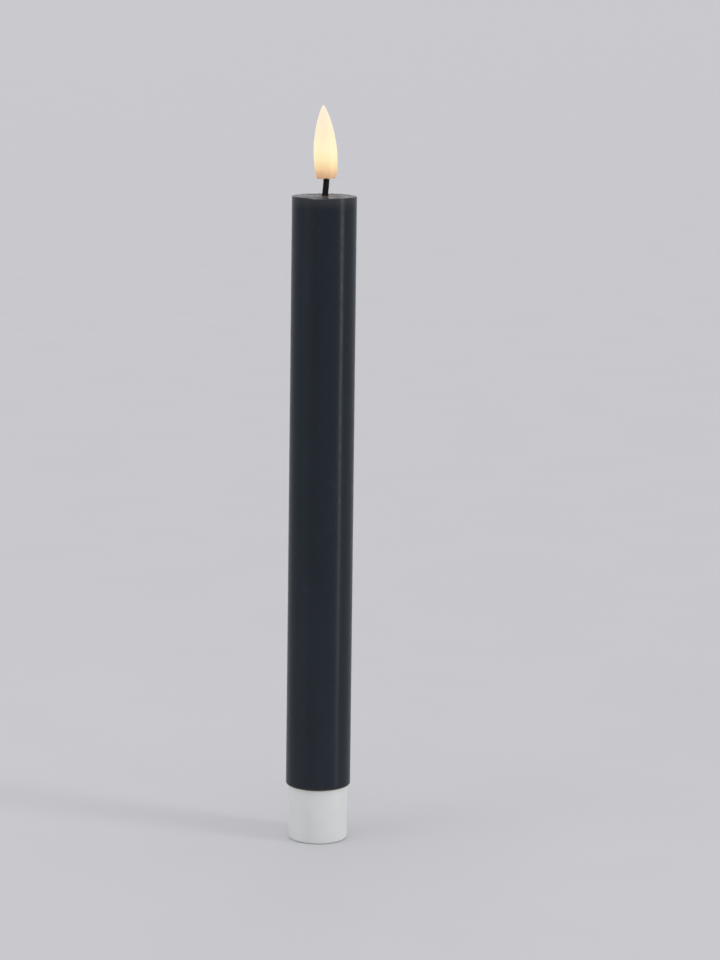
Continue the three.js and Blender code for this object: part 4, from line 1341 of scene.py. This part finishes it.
def switch_housing():
    """A folded metal frame round an insulating wafer, open below for the slider."""
    frame_box = box((-4.3, 4.3), (-1.8, 1.8), (SWITCH_BOTTOM, SWITCH_TOP - 0.45), 0.25)
    wafer = box((-4.15, 4.15), (-1.65, 1.65), (SWITCH_TOP - 0.7, SWITCH_TOP), 0.06, 2)
    tab = box((1.4, 2.6), (1.6, 1.8), (SWITCH_TOP - 1.4, SWITCH_TOP - 0.05), 0.06, 2)
    tabs = both_sides(tab) + both_sides(reshaped(tab, lambda v: (v.x, -v.y, v.z)))
    channel = box((-3.2, 3.2), (-0.9, 0.9), (SWITCH_BOTTOM - 1, 3.9), 0.1, 2)
    return joined("switch_housing", [frame_box, wafer, *tabs], [channel])


def is_wafer(centre):
    return centre.z > SWITCH_TOP - 0.44 and abs(centre.y) < 1.66


def switch_knob():
    """The slider with its grooved finger knob, in the on position."""
    x = KNOB_X
    slider = box(span(x, 1.9), (-0.7, 0.7), (2.7, 3.7), 0.1, 2)
    stem = box(span(x, 0.9), (-0.7, 0.7), (2.0, 2.8))
    knob = box(span(x, KNOB_HALF), (-1, 1), (0.3, 2.1), 0.18)
    grooves = []
    for middle in (x - 0.6, x, x + 0.6):
        outline = [(middle - 0.16, 0.0), (middle + 0.16, 0.0), (middle, 0.58)]
        grooves.append(prism(outline, -2, 2, along_y))
    return joined("switch_knob", [slider, stem, knob], grooves)


def switch_pin(x):
    """A short square pin with chamfered edges and a collar of solder at the board."""
    top = SWITCH_PIN_TOP
    pin = box(span(x, 0.25), (-0.2, 0.2), (SWITCH_TOP + 0.05, top), 0.05, 2)
    foot = top - 0.12
    collar = [(0, foot, 0), (0.27, foot, 0.02), (0.36, top, 0.02), (0, top, 0)]
    return joined("switch_pin", [pin, turned(collar, 24, centre=(x, 0))])


add_camera()
add_world()
add_lights()
add_floor()

wax = wax_material()
white = plastic_material("white_plastic", WHITE_TONE)
lit = flame_material()
sleeve = wick_material()
nickel = metal_material("nickel", (214, 210, 200), 0.3)
steel = metal_material("steel", (178, 180, 184), 0.38)
tin = metal_material("tinned_copper", (206, 204, 200), 0.28, stretch=(1, 1, 1))
upright_board = board_material("upright_board", "X", "Z")
flat_board = board_material("flat_board", "X", "Y")
black = moulding_material("black_moulding", (24, 24, 25))
wafer = moulding_material("brown_wafer", (96, 62, 36), 0.55)
red_wire = moulding_material("red_insulation", (168, 26, 24), 0.42)
black_wire = moulding_material("black_insulation", (22, 22, 23), 0.42)

for slot, material, makers in (
    ("wax", wax, [wax_sleeve]),
    ("white_plastic", white, [core_tube, tube_plug, bay_stop, base_cap]),
    ("flame_plastic", lit, [flame]),
    ("lamp_lens", lens_material(), [lamp]),
    ("black_sleeve", sleeve, [wick_sleeve]),
    ("nickel", nickel, [positive_contact, return_strip, contact_ring, battery_spring]),
    ("steel", steel, [timing_crystal]),
    ("black_moulding", black, [switch_knob]),
):
    for make in makers:
        finish_piece(make(), make.__name__, material)
for make, slot, material, accent, is_accent in (
    (switch_housing, "steel", steel, wafer, is_wafer),
    (control_board, "circuit_board", upright_board, tin, is_solder),
    (base_board, "circuit_board", flat_board, tin, is_board_solder),
    (controller_chip, "black_moulding", black, tin, is_leg),
    (smoothing_capacitor, "black_moulding", sleeve_material(), tin, is_bare_can),
    (infrared_receiver, "black_moulding", black, tin, is_receiver_leg),
):
    finish_piece(make(), make.__name__, material, accent, is_accent)
for i, node in enumerate(("lower_battery", "upper_battery")):
    bottom = CELL_BOTTOM + i * CELL_STEP
    finish_piece(cell(bottom), node, cell_material(node + "_wrap", bottom))
for i, x in enumerate(SWITCH_PIN_XS):
    finish_piece(switch_pin(x), f"switch_pin_{i + 1}", nickel)
for name, y in (("front", -SCREW_Y), ("rear", SCREW_Y)):
    finish_piece(base_screw(y), "base_screw_" + name, steel)
for i, x in enumerate(RESISTOR_XS):
    finish_piece(resistor(x), f"resistor_{i + 1}", black, tin, is_resistor_end)
for name, slot, paint, side, route in (
    ("positive", "red_insulation", red_wire, -1, POSITIVE_ROUTE),
    ("negative", "black_insulation", black_wire, 1, NEGATIVE_ROUTE),
):
    for node, (wire, is_bare) in (("lamp", lamp_wire(side)), ("supply", supply_wire(route))):
        finish_piece(wire, f"{node}_wire_{name}", paint, tin, is_bare)

bpy.context.scene.view_settings.view_transform = "Standard"
